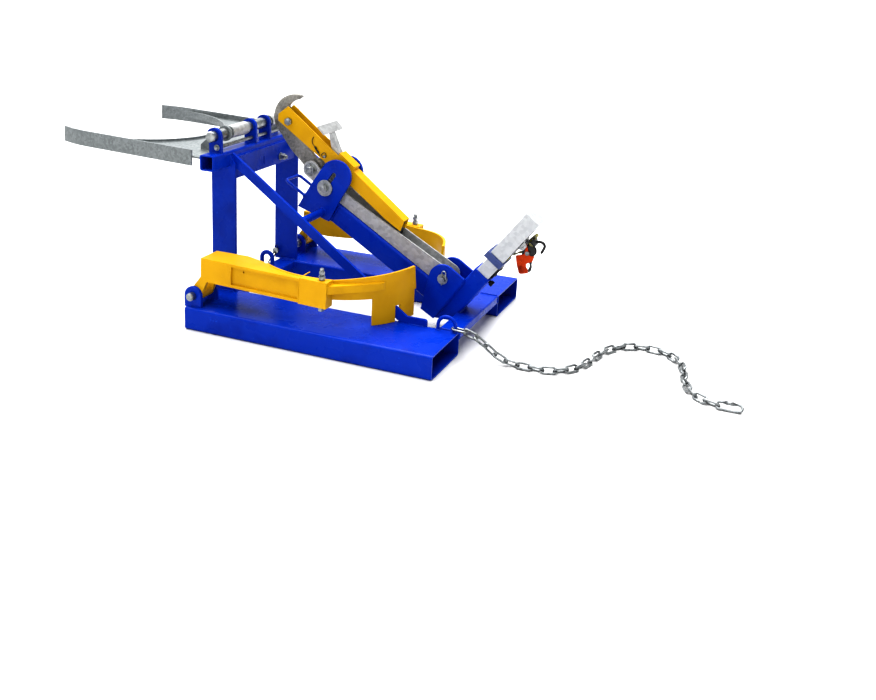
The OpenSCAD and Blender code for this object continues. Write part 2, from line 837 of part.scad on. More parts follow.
// Pivot bolt of the claw, with its spacers inside the rail
module claw_bolt() {
    at = [rail_len, 0];
    color(ZINC) on_tower() {
        bar_y(at, claw_bolt_d, -rail_half - 16, rail_half + 16);
        both_sides() {
            side_plate(claw_t / 2 + seat, rail_half - rail_wall - run) translate(at) difference() {
                circle(15);
                circle(d = claw_bolt_d + 2 * run);
            }
            side_plate(rail_half + run, rail_half + 4) translate(at) difference() {
                circle(21);
                circle(d = claw_bolt_d + 2 * run);
            }
            side_plate(rail_half + 4, rail_half + 14) translate(at) difference() {
                circle(17, $fn = 6);
                circle(d = claw_bolt_d + 2 * run);
            }
        }
    }
}

horn_mid = [rail_len + 141.4, 94];
horn_r = 80;
throat_mid = [rail_len + 129.4, 112];
throat_r = 56;

// Hooked claw plate: a long cheek from its pivot, a round back and a pointed beak
module claw() {
    color(STEEL) on_tower() side_plate(-claw_t / 2, claw_t / 2) difference() {
        union() {
            translate([rail_len, 0]) circle(26);
            polygon(concat(
                [[rail_len + 12, -22], [rail_len + 36, -15], [rail_len + 104, 0], [rail_len + 192, 34]],
                arc(horn_mid, horn_r, -30, 71, 14),
                [[rail_len + 160, 168]],
                arc(throat_mid, throat_r, 50, 4, 8),
                [[rail_len + 166, 92], [rail_len + 120, 66], [rail_len + 2, 25]]
            ));
        }
        translate([rail_len, 0]) circle(d = claw_bolt_d + 2 * run);
        translate([link_a, link_b]) circle(d = link_bolt_d + 2 * run);
    }
}

// Bolt that links the claw to the strut
module link_bolt() {
    at = [link_a, link_b];
    half = strut_w / 2;
    color(ZINC) on_tower() {
        bar_y(at, link_bolt_d, -half - 13, half + 13);
        both_sides() {
            side_plate(claw_t / 2 + run, half - strut_wall - seat) translate(at) difference() {
                circle(11);
                circle(d = link_bolt_d + 2 * run);
            }
            side_plate(half + seat, half + 11) translate(at) difference() {
                circle(13, $fn = 6);
                circle(d = link_bolt_d + 2 * run);
            }
        }
    }
}

strut_front = [rail_len + 180, 118.5];
strut_rear = [rail_len - 348.8, 58.8];
strut_rise = (strut_front[1] - strut_rear[1]) / (strut_front[0] - strut_rear[0]);
cap_rear = rail_len - 117;
cap_front = rail_len - 51;
cap_h = 12;
shoe_at = [rail_len - 333.6, 0];
shoe_r = -web_b - 0.4;
detent_at = [rail_len - 14, 61];

// Height of the strut's upper edge at a distance along the tower
function strut_top(a) = strut_rear[1] + (a - strut_rear[0]) * strut_rise;

// Yellow channel, open below, closed on top behind the claw, with a raised part of its roof
module strut_arm() {
    half = strut_w / 2;
    web = cap_rear + strut_wall;
    color(YELLOW) on_tower() difference() {
        union() {
            both_sides() side_plate(half - strut_wall, half) polygon([
                strut_rear, [cap_rear, strut_top(cap_rear)], [cap_rear, strut_top(cap_rear) + cap_h],
                [cap_front, strut_top(cap_front) + cap_h], [cap_front, strut_top(cap_front)],
                strut_front, [rail_len + 196, 78], [rail_len + 186, 58.5], [rail_len, 48.5],
                [rail_len - 138, 38], [rail_len - 296, 23], [rail_len - 356, 23]
            ]);
            side_plate(-half, half) polygon([
                strut_rear, [cap_rear, strut_top(cap_rear)], [cap_rear, strut_top(cap_rear) + cap_h],
                [cap_front, strut_top(cap_front) + cap_h], [cap_front, strut_top(cap_front) + cap_h - strut_wall],
                [web, strut_top(web) + cap_h - strut_wall], [web, strut_top(web) - strut_wall],
                strut_rear - [0, strut_wall]
            ]);
        }
        bar_y([link_a, link_b], link_bolt_d + 2 * run, -half - 1, half + 1);
        bar_y(detent_at, 10 + 2 * run, -half - 1, half + 1);
    }
}

// Round sliding shoe at the foot of the strut, which keeps it in the rail
module strut_shoe() {
    inner = strut_w / 2 - strut_wall - run;
    neck = strut_top(shoe_at[0] - 13) - strut_wall - run;
    color(BLACK) on_tower() {
        side_plate(-rail_half + rail_wall + 0.5, rail_half - rail_wall - 0.5)
            translate(shoe_at) circle(shoe_r);
        side_plate(-inner, inner) translate([shoe_at[0] - 13, 0]) square([26, neck]);
    }
}

// Bent plate on a leg, which stops the drum against the strut
module stop_plate() {
    foot = cap_front + run;
    color(ZINC) on_tower() {
        side_plate(-stop_w / 2, stop_w / 2) polygon([
            [foot + 62, 137], [foot + 95, 145], [foot + 94, 145 + stop_t], [foot + 60, 137 + stop_t]
        ]);
        side_plate(-13, 13) polygon([
            [foot, strut_top(foot) + 4], [foot, strut_top(foot) - 14], [foot + 20, strut_top(foot) - 14],
            [foot + 79, 143], [foot + 62.5, 137 + stop_t * 0.5]
        ]);
        both_sides() side_plate(13, strut_w / 2 - strut_wall - run)
            translate([foot, strut_top(foot) - 14]) square([20, 12]);
    }
}

// Spring pin that locks the strut, with a button head and a pull ring
module detent_pin() {
    half = strut_w / 2;
    color(ZINC) on_tower() {
        bar_y(detent_at, 10, -half - 3, half + 8);
        bar_y(detent_at, 19, half + seat, half + 8);
        translate([detent_at[0], half + 11, detent_at[1] + 6]) rotate_extrude() translate([8, 0]) circle(d = 3);
    }
}

head_wall = 5;
post_low = -post_travel - 38;
post_top = socket_up + post_show + post_head - head_wall;

module post_tube() {
    color(ZINC) on_post() translate([-post_d / 2, -post_w / 2, post_low]) linear_extrude(post_top - post_low)
        tube_section([post_d, post_w], post_wall, post_wall + 1);
}

head_z = socket_up + post_show;
head_half = post_w / 2 + head_wall + run;
head_depth = post_d / 2 + head_wall + run;

// Channel that wraps the top of the post, open to the rear and closed by a plate on top
module post_head_channel() {
    color(ZINC) on_post() translate([0, 0, head_z]) difference() {
        block([-head_depth, -head_half, 0], [head_depth - head_wall, head_half, post_head]);
        block([-post_d / 2 - run, -post_w / 2 - run, -1], [post_d, post_w / 2 + run, post_head - head_wall]);
    }
}

// Bar ring round the post under its head
module post_collar() {
    h = 22;
    color("#4a5580") on_post() translate([0, 0, head_z - h - run]) linear_extrude(h) difference() {
        translate([-head_depth - 8, -head_half - 6]) square([2 * head_depth + 8, 2 * head_half + 12]);
        translate([-post_d / 2 - run, -post_w / 2 - run]) square([post_d + 2 * run, post_w + 2 * run]);
    }
}

ratchet_z = socket_up + 146;
ratchet_x = post_d / 2 + 32;
ratchet_pin_d = 10;

// Bent bracket on the back of the post, with two ears for the ratchet's pin
module ratchet_bracket() {
    half = ratchet_w / 2;
    color(ZINC) on_post() {
        block([post_d / 2 + run, -half, ratchet_z - 40], [post_d / 2 + 6, half, ratchet_z + 26]);
        both_sides() side_plate(half - 4, half) difference() {
            union() {
                translate([post_d / 2 + 4, ratchet_z - 22]) square([ratchet_x - post_d / 2 - 4, 44]);
                translate([ratchet_x, ratchet_z]) circle(22);
            }
            translate([ratchet_x, ratchet_z]) circle(d = ratchet_pin_d + 2 * run);
        }
        bar_y([ratchet_x, ratchet_z], ratchet_pin_d, -half - 4, half + 4);
    }
}

// Orange webbing guard under the ratchet, with a finger window
module ratchet_frame() {
    half = ratchet_w / 2 - 5;
    x = post_d / 2 + 10;
    face = post_d / 2 + 6;
    color(ORANGE) on_post() difference() {
        side_plate(-half, half) polygon([
            [face, ratchet_z - 40], [x + 6, ratchet_z - 42], [x + 42, ratchet_z - 74], [x + 62, ratchet_z - 54],
            [x + 54, ratchet_z - 26], [x + 18, ratchet_z - 25], [face, ratchet_z - 27]
        ]);
        side_plate(-half - 1, half + 1) polygon([
            [x + 26, ratchet_z - 42], [x + 42, ratchet_z - 58], [x + 52, ratchet_z - 50], [x + 46, ratchet_z - 36]
        ]);
    }
}

// Black lever of the ratchet on its pin
module ratchet_handle() {
    half = ratchet_w / 2 - 4 - seat;
    color(BLACK) on_post() side_plate(-half, half) difference() {
        union() {
            translate([ratchet_x, ratchet_z]) circle(15);
            polygon([
                [ratchet_x + 2, ratchet_z + 14], [ratchet_x + 14, ratchet_z - 4],
                [ratchet_x + 48, ratchet_z + 16], [ratchet_x + 40, ratchet_z + 28]
            ]);
        }
        translate([ratchet_x, ratchet_z]) circle(d = ratchet_pin_d + 2 * run);
    }
}

hook_wire = 8;

// J-shaped hook at the end of the strap, hanging beside the ratchet
module strap_hook() {
    x = post_d / 2 + 6 + hook_wire / 2 + run;
    z = ratchet_z + 44;
    r = 14;
    color(BLACK) on_post() {
        translate([x, 0, z - 24]) cylinder(d = hook_wire, h = 40);
        translate([x + r, 0, z + 16]) rotate([90, 0, 0]) rotate_extrude(angle = 180)
            translate([r, 0]) circle(d = hook_wire);
        translate([x + 2 * r, 0, z]) cylinder(d = hook_wire, h = 16);
        translate([x + 2 * r, 0, z]) sphere(d = hook_wire);
    }
}

// Distance from one link's middle to the next
chain_step = link_pitch - 1.3;
// Height of the links that lie on the floor, which are rolled by 45 degrees
chain_low = (link_gap / 2 + wire / 2) * cos(45) + wire / 2 + 0.2;
// Downward slopes of the first links, from the eye over the pocket's end to the floor
chain_drop = [4, 18, 32, 36, 24, 8, 0];
drop_links = len(chain_drop);
chain_swing = 80;

function link_pitch_at(i) = i < drop_links ? chain_drop[i] : 0;
function link_yaw_at(i) = i < drop_links ? 0 : chain_swing * sin(360 * (i - drop_links) / 25);
function link_roll_at(i) = 90 * (i % 2) + 45 * min(1, i / drop_links);
function link_dir(i) = [
    cos(link_pitch_at(i)) * cos(link_yaw_at(i)), cos(link_pitch_at(i)) * sin(link_yaw_at(i)),
    -sin(link_pitch_at(i))
];
function link_shift(i) = i <= 0 ? [0, 0, 0]
    : link_shift(i - 1) + chain_step / 2 * (link_dir(i - 1) + link_dir(i));
chain_from = [
    pocket_len - 4.5 - eye_bar + link_pitch / 2, -pocket_in - 12, chain_low - link_shift(drop_links + 1)[2]
];

// One oval link, lying flat along X round the origin
module chain_link(pitch, gap, d) {
    r = (gap + d) / 2;
    straight = pitch + d - 2 * r;
    for (turn = [0, 180]) rotate(turn) {
        translate([straight / 2, 0, 0]) rotate(-90) rotate_extrude(angle = 180, $fn = 24)
            translate([r, 0]) circle(d = d, $fn = 24);
        translate([-straight / 2, r, 0]) rotate([0, 90, 0]) cylinder(d = d, h = straight, $fn = 24);
    }
}

module place_link(i) {
    translate(chain_from + link_shift(i)) rotate([0, 0, link_yaw_at(i)])
        rotate([0, link_pitch_at(i), 0]) rotate([link_roll_at(i), 0, 0]) children();
}

module safety_chain() {
    color(ZINC) for (i = [0:links - 1])
        place_link(i) chain_link(link_pitch, link_gap, wire);
}

// Snap hook on the last link: a long oval with a thicker gate on its upper side
module snap_hook() {
    d = 7.5;
    gap = 13;
    long = 60;
    step = (long - link_pitch) / 2 - seat;
    lift = (gap - link_gap + d - wire) / 2 * cos(45) + (d - wire) / 2;
    color(ZINC) translate([0, 0, lift]) place_link(links) translate([step, 0, 0]) {
        chain_link(long, gap, d);
        translate([-12, (gap + d) / 2, 0]) rotate([0, 90, 0]) cylinder(d = d + 3, h = 24);
    }
}

left_fork_pocket();
right_fork_pocket();
front_cross_member();
rear_cross_member();
left_upright();
right_upright();
top_cross_tube();
top_tie_plate();
tie_bolt();
left_brace();
right_brace();
cross_rods();
shaft_hooks();
keeper_rod();
left_arm_ears();
right_arm_ears();
arm_hinge_pins();
strap_eye();
chain_eye();
foot_lock_pins();
mast_tube();
head_plates();
tower_handle();
bracket_plates();
socket_tube();
socket_bolt();
rail_pivot_pin();
pivot_hairpins();
hanger_shaft();
shaft_spacers();
fork_lugs();
yoke_plate();
rim_flange();
rim_bands();
left_arm_box();
left_arm_arc();
left_arm_pad();
left_arm_bolt();
right_arm_box();
right_arm_arc();
right_arm_pad();
right_arm_bolt();
rail_channel();
slot_bolt();
claw_bolt();
claw();
link_bolt();
strut_arm();
strut_shoe();
stop_plate();
detent_pin();
post_tube();
post_head_channel();
post_collar();
ratchet_bracket();
ratchet_frame();
ratchet_handle();
strap_hook();
safety_chain();
snap_hook();
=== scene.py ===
"""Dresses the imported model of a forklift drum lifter: finishes, welds, threads and small fittings.

Metres, +Z up. The forks enter from +X, the rim fork reaches out at -X and the left side is -Y.
"""

from __future__ import annotations

import json
import logging
import math
from dataclasses import dataclass, field
from enum import Enum
from functools import partial
from typing import Callable, Sequence

import bmesh
import bpy
from mathutils import Matrix, Vector, noise


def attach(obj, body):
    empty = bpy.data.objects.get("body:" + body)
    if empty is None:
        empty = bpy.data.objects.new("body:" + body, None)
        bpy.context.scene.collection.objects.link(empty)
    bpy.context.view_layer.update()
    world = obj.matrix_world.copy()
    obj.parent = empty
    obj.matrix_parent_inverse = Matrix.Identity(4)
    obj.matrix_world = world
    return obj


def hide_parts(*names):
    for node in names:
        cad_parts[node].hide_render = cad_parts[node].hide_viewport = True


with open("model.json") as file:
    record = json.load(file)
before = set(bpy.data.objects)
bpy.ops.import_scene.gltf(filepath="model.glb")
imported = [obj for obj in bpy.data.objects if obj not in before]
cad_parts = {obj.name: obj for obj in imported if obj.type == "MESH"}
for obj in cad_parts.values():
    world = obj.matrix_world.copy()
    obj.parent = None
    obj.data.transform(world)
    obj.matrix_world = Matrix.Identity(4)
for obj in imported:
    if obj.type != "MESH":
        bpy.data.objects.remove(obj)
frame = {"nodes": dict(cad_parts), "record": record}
LOG = logging.getLogger("drum_lifter")

Material = bpy.types.Material
Node = bpy.types.Node
Point = tuple[float, float, float]
Line = tuple[Point, Point]
Flat = tuple[float, float]  # a point of an outline's plane, or two values that belong together
Face = tuple[int, ...]
Mesh = tuple[list[Vector], list[Face]]
Place = Callable[[float, float, float], Vector]  # two coordinates of an outline and the width

MM = 0.001
UP = (0, 0, 1)
ACROSS = (0, 1, 0)
SIDES = (-1, 1)

PIVOT = (0.718, 0.182)  # the rail's hinge at the foot of the tower
TOWER_SLOPE = math.radians(31.2)
POST_FOOT = (0.808, 0.170)  # the post's mark in its socket
POST_SLOPE = math.radians(53.0)
SHAFT = (0.018, 0.592)  # the hanger shaft of the rim fork
RIM_TILT = math.radians(2.4)
ARM_HINGE = (0.020, 0.109)  # the pins of the side arms
ARM_DROOP = math.radians(1.7)


class Slot(Enum):
    """Material slots of the record that new pieces take their finish from."""

    BLUE = "blue_paint"
    YELLOW = "yellow_paint"
    GALVANISED = "galvanised_steel"
    ZINC = "zinc_hardware"
    PLATE = "rough_steel"
    COLLAR = "dark_paint"
    ORANGE = "orange_paint"
    BLACK_STEEL = "black_steel"
    PLASTIC = "black_plastic"


def on_tower(along: float, above: float, y: float) -> Vector:
    """A point of the sloped tower's own plane in the row frame.

    Args:
        along: Distance up the slope from the rail's hinge.
        above: Distance square to the slope.
        y: Distance from the middle plane.

    Returns:
        The point in metres.
    """
    c, s = math.cos(TOWER_SLOPE), math.sin(TOWER_SLOPE)
    return Vector((PIVOT[0] - along * c + above * s, y, PIVOT[1] + along * s + above * c))


def on_post(up: float, depth: float, y: float) -> Vector:
    """A point of the post's own line in the row frame.

    Args:
        up: Distance up the post from its mark in the socket.
        depth: Distance towards the rear, square to the post.
        y: Distance from the middle plane.

    Returns:
        The point in metres.
    """
    c, s = math.cos(POST_SLOPE), math.sin(POST_SLOPE)
    return Vector((POST_FOOT[0] + up * c + depth * s, y, POST_FOOT[1] + up * s - depth * c))


def on_fork(x: float, y: float, z: float) -> Vector:
    """A point of the rim fork, given as if it lay level, after its tilt about the hanger shaft.

    Args:
        x: Distance along X.
        y: Distance from the middle plane.
        z: Height above the floor.

    Returns:
        The point in metres.
    """
    c, s = math.cos(RIM_TILT), math.sin(RIM_TILT)
    dx, dz = x - SHAFT[0], z - SHAFT[1]
    return Vector((SHAFT[0] + dx * c + dz * s, y, SHAFT[1] - dx * s + dz * c))


def linear(colour: str) -> tuple[float, float, float, float]:
    """Turns an sRGB hex colour into the linear values that the shaders take.

    Args:
        colour: Six hex digits after a hash.

    Returns:
        Linear red, green, blue and alpha.
    """
    parts = [int(colour[i : i + 2], 16) / 255 for i in (1, 3, 5)]
    # The numbers are those of the sRGB standard.
    rgb = [p / 12.92 if p <= 0.04045 else ((p + 0.055) / 1.055) ** 2.4 for p in parts]
    return (rgb[0], rgb[1], rgb[2], 1.0)


def scale_for(size_mm: float) -> float:
    """Returns the pattern scale at which one feature is this many millimetres wide."""
    return 1000 / size_mm


def wire(node: Node, settings: dict | None = None, links: dict | None = None) -> Node:
    """Sets a node's values and feeds its inputs.

    Args:
        node: The node.
        settings: Values by socket name, or by property name where there is no such socket. A
            colour ramp's stops are positions with their linear colours, in order.
        links: Output sockets by the name of the input that they feed.

    Returns:
        The same node.
    """
    for name, value in (settings or {}).items():
        if name == "stops":
            marks = node.color_ramp.elements
            while len(marks) < len(value):
                marks.new(0.5)
            for mark, (place, tone) in zip(marks, value):
                mark.position, mark.color = place, tone
        elif isinstance(name, str) and hasattr(node, name):
            setattr(node, name, value)
        else:
            node.inputs[name].default_value = value
    for name, socket in (links or {}).items():
        node.id_data.links.new(socket, node.inputs[name])
    return node


def add_node(
    tree: bpy.types.NodeTree, kind: str, settings: dict | None = None, links: dict | None = None
) -> Node:
    """Adds one shader node with its settings and links.

    Args:
        tree: The node tree.
        kind: Blender's name of the node type, without its first word.
        settings: Its values, as wire takes them.
        links: What feeds its inputs, as wire takes it.

    Returns:
        The new node.
    """
    return wire(tree.nodes.new("ShaderNode" + kind), settings, links)


def start_material(name: str) -> tuple[Material, Callable[..., Node], Node, bpy.types.NodeSocket]:
    """Makes an empty material with its shader and the object's own coordinates.

    Args:
        name: Name of the finish.

    Returns:
        The material, the function that adds its nodes, its shader and its coordinates in metres.
    """
    material = bpy.data.materials.new(name)
    material.use_nodes = True
    material.node_tree.nodes.clear()
    add = partial(add_node, material.node_tree)
    shader = add("BsdfPrincipled")
    add("OutputMaterial", links={"Surface": shader.outputs["BSDF"]})
    return material, add, shader, add("TexCoord").outputs["Object"]


NOISE_SPAN = {"From Min": 0.3, "From Max": 0.7}  # where nearly all of a noise's values lie


@dataclass(frozen=True)
class Enamel:
    """Sprayed gloss enamel on welded steel.

    Orange peel breaks up its gloss over a slow wave, and rubbed patches are paler and duller.
    """

    name: str
    colour: str
    deep: str
    rubbed: str
    roughness: float = 0.27
    # Real orange peel is 1 to 2 mm wide. It is drawn coarser, so that it shows from a few metres.
    peel_mm: float = 3.5
    wave_mm: float = 55.0
    cloud_mm: float = 120.0
    scuff_mm: float = 9.0
    patch_mm: float = 70.0
    # Enamel has an IOR of about 1.5. Its gloss is held low to match the photograph's even light.
    ior: float = 1.52
    gloss: float = 0.1
    coat: float = 0.03
    coat_roughness: float = 0.08

    def build(self) -> Material:
        """Wires the shader.

        Returns:
            The enamel as a material.
        """
        material, add, shader, where = start_material(self.name)
        at = {"Vector": where}
        cloud = add("TexNoise", {"Scale": scale_for(self.cloud_mm), "Detail": 4.0}, at)
        paint = [(0.3, linear(self.deep)), (0.52, linear(self.colour))]
        tone = add("ValToRGB", {"stops": paint}, {"Fac": cloud.outputs["Fac"]})
        rubs = {"Scale": scale_for(self.scuff_mm), "Detail": 6.0, "Roughness": 0.7}
        scuff = add("TexNoise", rubs, at)
        patch = add("TexNoise", {"Scale": scale_for(self.patch_mm), "Detail": 3.0}, at)
        both = add(
            "Math", {"operation": "MULTIPLY"}, {0: scuff.outputs["Fac"], 1: patch.outputs["Fac"]}
        )
        wear = {"From Min": 0.36, "From Max": 0.46, "To Min": 0.0, "To Max": 0.55}
        worn = add("MapRange", wear, {"Value": both.outputs[0]})
        mixed = add(
            "Mix",
            {"data_type": "RGBA", "B": linear(self.rubbed)},
            {"Factor": worn.outputs["Result"], "A": tone.outputs["Color"]},
        )
        dull = {**NOISE_SPAN, "To Min": self.roughness - 0.06, "To Max": self.roughness + 0.1}
        rough = add("MapRange", dull, {"Value": patch.outputs["Fac"]})
        peel = add("TexNoise", {"Scale": scale_for(self.peel_mm), "Detail": 1.0}, at)
        wave = add("TexNoise", {"Scale": scale_for(self.wave_mm), "Detail": 1.0}, at)
        broad = add(
            "Bump", {"Strength": 0.25, "Distance": 1.2 * MM}, {"Height": wave.outputs["Fac"]}
        )
        fine = add(
            "Bump",
            {"Strength": 0.22, "Distance": 0.18 * MM},
            {"Height": peel.outputs["Fac"], "Normal": broad.outputs["Normal"]},
        )
        wire(
            shader,
            {
                "IOR": self.ior,
                "Specular IOR Level": self.gloss,
                "Coat Weight": self.coat,
                "Coat Roughness": self.coat_roughness,
            },
            {
                "Base Color": mixed.outputs["Result"],
                "Roughness": rough.outputs["Result"],
                "Normal": fine.outputs["Normal"],
            },
        )
        return material


@dataclass(frozen=True)
class Spangle:
    """Hot-dip galvanised steel: zinc crystals, each with its own grey and gloss.

    Half metallic, because old zinc has a dull grey skin of oxide over the metal.
    """

    name: str
    dark: str
    light: str
    crystal_mm: float = 11.0
    roughness: float = 0.42
    metallic: float = 0.45
    ragged_mm: float = 14.0
    cloud_mm: float = 60.0

    def build(self) -> Material:
        """Wires the shader.

        Returns:
            The galvanised finish as a material.
        """
        material, add, shader, where = start_material(self.name)
        at = {"Vector": where}
        warp = add("TexNoise", {"Scale": scale_for(self.ragged_mm), "Detail": 2.0}, at)
        # The crystals' borders wander by up to 6 mm.
        shift = {"operation": "MULTIPLY_ADD", 1: (0.006, 0.006, 0.006)}
        shifted = add("VectorMath", shift, {0: warp.outputs["Color"], 2: where})
        crystals = add(
            "TexVoronoi",
            {"Scale": scale_for(self.crystal_mm), "Randomness": 1.0},
            {"Vector": shifted.outputs[0]},
        )
        grey = add("SeparateColor", links={"Color": crystals.outputs["Color"]})
        weather = {"Scale": scale_for(self.cloud_mm), "Detail": 5.0, "Roughness": 0.6}
        cloud = add("TexNoise", weather, at)
        blend = add(
            "Mix",
            {"data_type": "FLOAT", "Factor": 0.45},
            {"A": grey.outputs["Red"], "B": cloud.outputs["Fac"]},
        )
        greys = [(0.2, linear(self.dark)), (0.85, linear(self.light))]
        tone = add("ValToRGB", {"stops": greys}, {"Fac": blend.outputs["Result"]})
        dull = {"To Min": self.roughness - 0.1, "To Max": self.roughness + 0.12}
        rough = add("MapRange", dull, {"Value": grey.outputs["Green"]})
        bump = add(
            "Bump", {"Strength": 0.2, "Distance": 0.3 * MM}, {"Height": blend.outputs["Result"]}
        )
        wire(
            shader,
            {"Metallic": self.metallic},
            {
                "Base Color": tone.outputs["Color"],
                "Roughness": rough.outputs["Result"],
                "Normal": bump.outputs["Normal"],
            },
        )
        return material


@dataclass(frozen=True)
class PlatedZinc:
    """Bright zinc plate on turned and forged fittings: a fine grain and a faint grey bloom."""

    name: str
    colour: str
    bloom: str
    roughness: float = 0.26
    # The real grain is under 1 mm. It is drawn coarser, so that it shows.
    grain_mm: float = 1.6
    bloom_mm: float = 16.0

    def build(self) -> Material:
        """Wires the shader.

        Returns:
            The plated finish as a material.
        """
        material, add, shader, where = start_material(self.name)
        at = {"Vector": where}
        haze = {"Scale": scale_for(self.bloom_mm), "Detail": 5.0, "Roughness": 0.65}
        bloom = add("TexNoise", haze, at)
        greys = [(0.34, linear(self.bloom)), (0.62, linear(self.colour))]
        tone = add("ValToRGB", {"stops": greys}, {"Fac": bloom.outputs["Fac"]})
        dull = {**NOISE_SPAN, "To Min": self.roughness + 0.14, "To Max": self.roughness - 0.05}
        rough = add("MapRange", dull, {"Value": bloom.outputs["Fac"]})
        grain = add("TexNoise", {"Scale": scale_for(self.grain_mm), "Detail": 2.0}, at)
        bump = add(
            "Bump", {"Strength": 0.18, "Distance": 0.1 * MM}, {"Height": grain.outputs["Fac"]}
        )
        wire(
            shader,
            {"Metallic": 1.0},
            {
                "Base Color": tone.outputs["Color"],
                "Roughness": rough.outputs["Result"],
                "Normal": bump.outputs["Normal"],
            },
        )
        return material


@dataclass(frozen=True)
class FlameCutPlate:
    """Thick dull plate as it comes from the flame: mottled grey, scaled and rough to the touch."""

    name: str
    dark: str
    light: str
    mottle_mm: float = 7.0
    patch_mm: float = 45.0
    roughness: float = 0.5
    metallic: float = 0.7

    def build(self) -> Material:
        """Wires the shader.

        Returns:
            The plate finish as a material.
        """
        material, add, shader, where = start_material(self.name)
        at = {"Vector": where}
        scale = {"Scale": scale_for(self.mottle_mm), "Detail": 8.0, "Roughness": 0.68}
        mottle = add("TexNoise", scale, at)
        patch = add("TexNoise", {"Scale": scale_for(self.patch_mm), "Detail": 4.0}, at)
        blend = add(
            "Mix",
            {"data_type": "FLOAT", "Factor": 0.5},
            {"A": mottle.outputs["Fac"], "B": patch.outputs["Fac"]},
        )
        greys = [(0.36, linear(self.dark)), (0.6, linear(self.light))]
        tone = add("ValToRGB", {"stops": greys}, {"Fac": blend.outputs["Result"]})
        bump = add(
            "Bump", {"Strength": 0.5, "Distance": 0.8 * MM}, {"Height": mottle.outputs["Fac"]}
        )
        wire(
            shader,
            {"Metallic": self.metallic, "Roughness": self.roughness},
            {"Base Color": tone.outputs["Color"], "Normal": bump.outputs["Normal"]},
        )
        return material


@dataclass(frozen=True)
class MouldedBlack:
    """Moulded nylon or black-oxide steel: even colour, a fine pitted skin, dust and a low sheen."""

    name: str
    colour: str
    roughness: float
    pit_mm: float = 1.2
    metallic: float = 0.0
    dust: str = "#3a3a3a"
    dust_mm: float = 22.0

    def build(self) -> Material:
        """Wires the shader.

        Returns:
            The black finish as a material.
        """
        material, add, shader, where = start_material(self.name)
        at = {"Vector": where}
        pits = add("TexNoise", {"Scale": scale_for(self.pit_mm), "Detail": 3.0}, at)
        dust = add("TexNoise", {"Scale": scale_for(self.dust_mm), "Detail": 5.0}, at)
        blacks = [(0.45, linear(self.colour)), (0.8, linear(self.dust))]
        tone = add("ValToRGB", {"stops": blacks}, {"Fac": dust.outputs["Fac"]})
        bump = add(
            "Bump", {"Strength": 0.3, "Distance": 0.2 * MM}, {"Height": pits.outputs["Fac"]}
        )
        wire(
            shader,
            {"Metallic": self.metallic, "Roughness": self.roughness},
            {"Base Color": tone.outputs["Color"], "Normal": bump.outputs["Normal"]},
        )
        return material


@dataclass(frozen=True)
class WovenWebbing:
    """Woven polyester strap: warp ribs along it under a loose fibre, dull with a soft sheen."""

    name: str
    colour: str
    shadow: str
    # Real ribs are about 1.5 mm wide. They are drawn coarser, so that they show from near by.
    rib_mm: float = 3.0
    fibre_mm: float = 0.9
    roughness: float = 0.8
    sheen: float = 0.3

    def build(self) -> Material:
        """Wires the shader.

        Returns:
            The webbing as a material.
        """
        material, add, shader, where = start_material(self.name)
        at = {"Vector": where}
        # A wave at scale 1 has a period of a tenth of pi metres.
        across = {"bands_direction": "Y", "Scale": 100 * math.pi / self.rib_mm, "Distortion": 0.3}
        ribs = add("TexWave", across, at)
        fibre = add("TexNoise", {"Scale": scale_for(self.fibre_mm), "Detail": 2.0}, at)
        blend = add(
            "Mix",
            {"data_type": "FLOAT", "Factor": 0.4},
            {"A": ribs.outputs["Fac"], "B": fibre.outputs["Fac"]},
        )
        # The darker olive is painted shade in the grooves between the ribs, mixed with the fibre's
        # random tone.
        olives = [(0.2, linear(self.shadow)), (0.7, linear(self.colour))]
        tone = add("ValToRGB", {"stops": olives}, {"Fac": blend.outputs["Result"]})
        bump = add(
            "Bump", {"Strength": 0.6, "Distance": 0.4 * MM}, {"Height": blend.outputs["Result"]}
        )
        wire(
            shader,
            {"Roughness": self.roughness, "Sheen Weight": self.sheen},
            {"Base Color": tone.outputs["Color"], "Normal": bump.outputs["Normal"]},
        )
        return material


class Finish(Enum):
    """Each finish of the lifter with its recipe. Those named as a slot are that slot's finish."""

    BLUE = Enamel("ultramarine_enamel", "#01329E", "#012788", "#1C50C8")
    YELLOW = Enamel("signal_yellow_enamel", "#C99A12", "#BD8E0E", "#D8AE3E", roughness=0.34)
    ORANGE = Enamel(
        "orange_powder_coat", "#B23C10", "#7C2406", "#D86A34", roughness=0.38, cloud_mm=30.0
    )
    COLLAR = Enamel(
        "slate_blue_paint", "#4A5580", "#363E60", "#6A7292", roughness=0.4, cloud_mm=25.0
    )
    GALVANISED = Spangle("galvanised_spangle", "#979898", "#B4B5B5")
    WEATHERED = Spangle("dull_galvanised", "#6A6F70", "#828788", 7.0, 0.52, 0.3)
    FRESH = Spangle("fresh_galvanised", "#AEB0B2", "#C0C2C3", 11.0, 0.5, 0.3)
    ZINC = PlatedZinc("bright_zinc_plate", "#A6A9A9", "#6E7273", roughness=0.34)
    CHAIN = PlatedZinc("zinc_chain", "#9A9D9E", "#5C6062", roughness=0.36, grain_mm=2.5)
    TETHER = PlatedZinc("oiled_wire", "#4A4C4D", "#26282A", roughness=0.42, grain_mm=1.2)
    PLATE = FlameCutPlate("flame_cut_plate", "#5F5E5A", "#A09E97")
    BLACK_STEEL = MouldedBlack("black_oxide_steel", "#131315", 0.36, metallic=0.4)
    PLASTIC = MouldedBlack("moulded_black_nylon", "#101010", 0.48)
    WEBBING = WovenWebbing("olive_webbing", "#A39A2B", "#5E5A17")


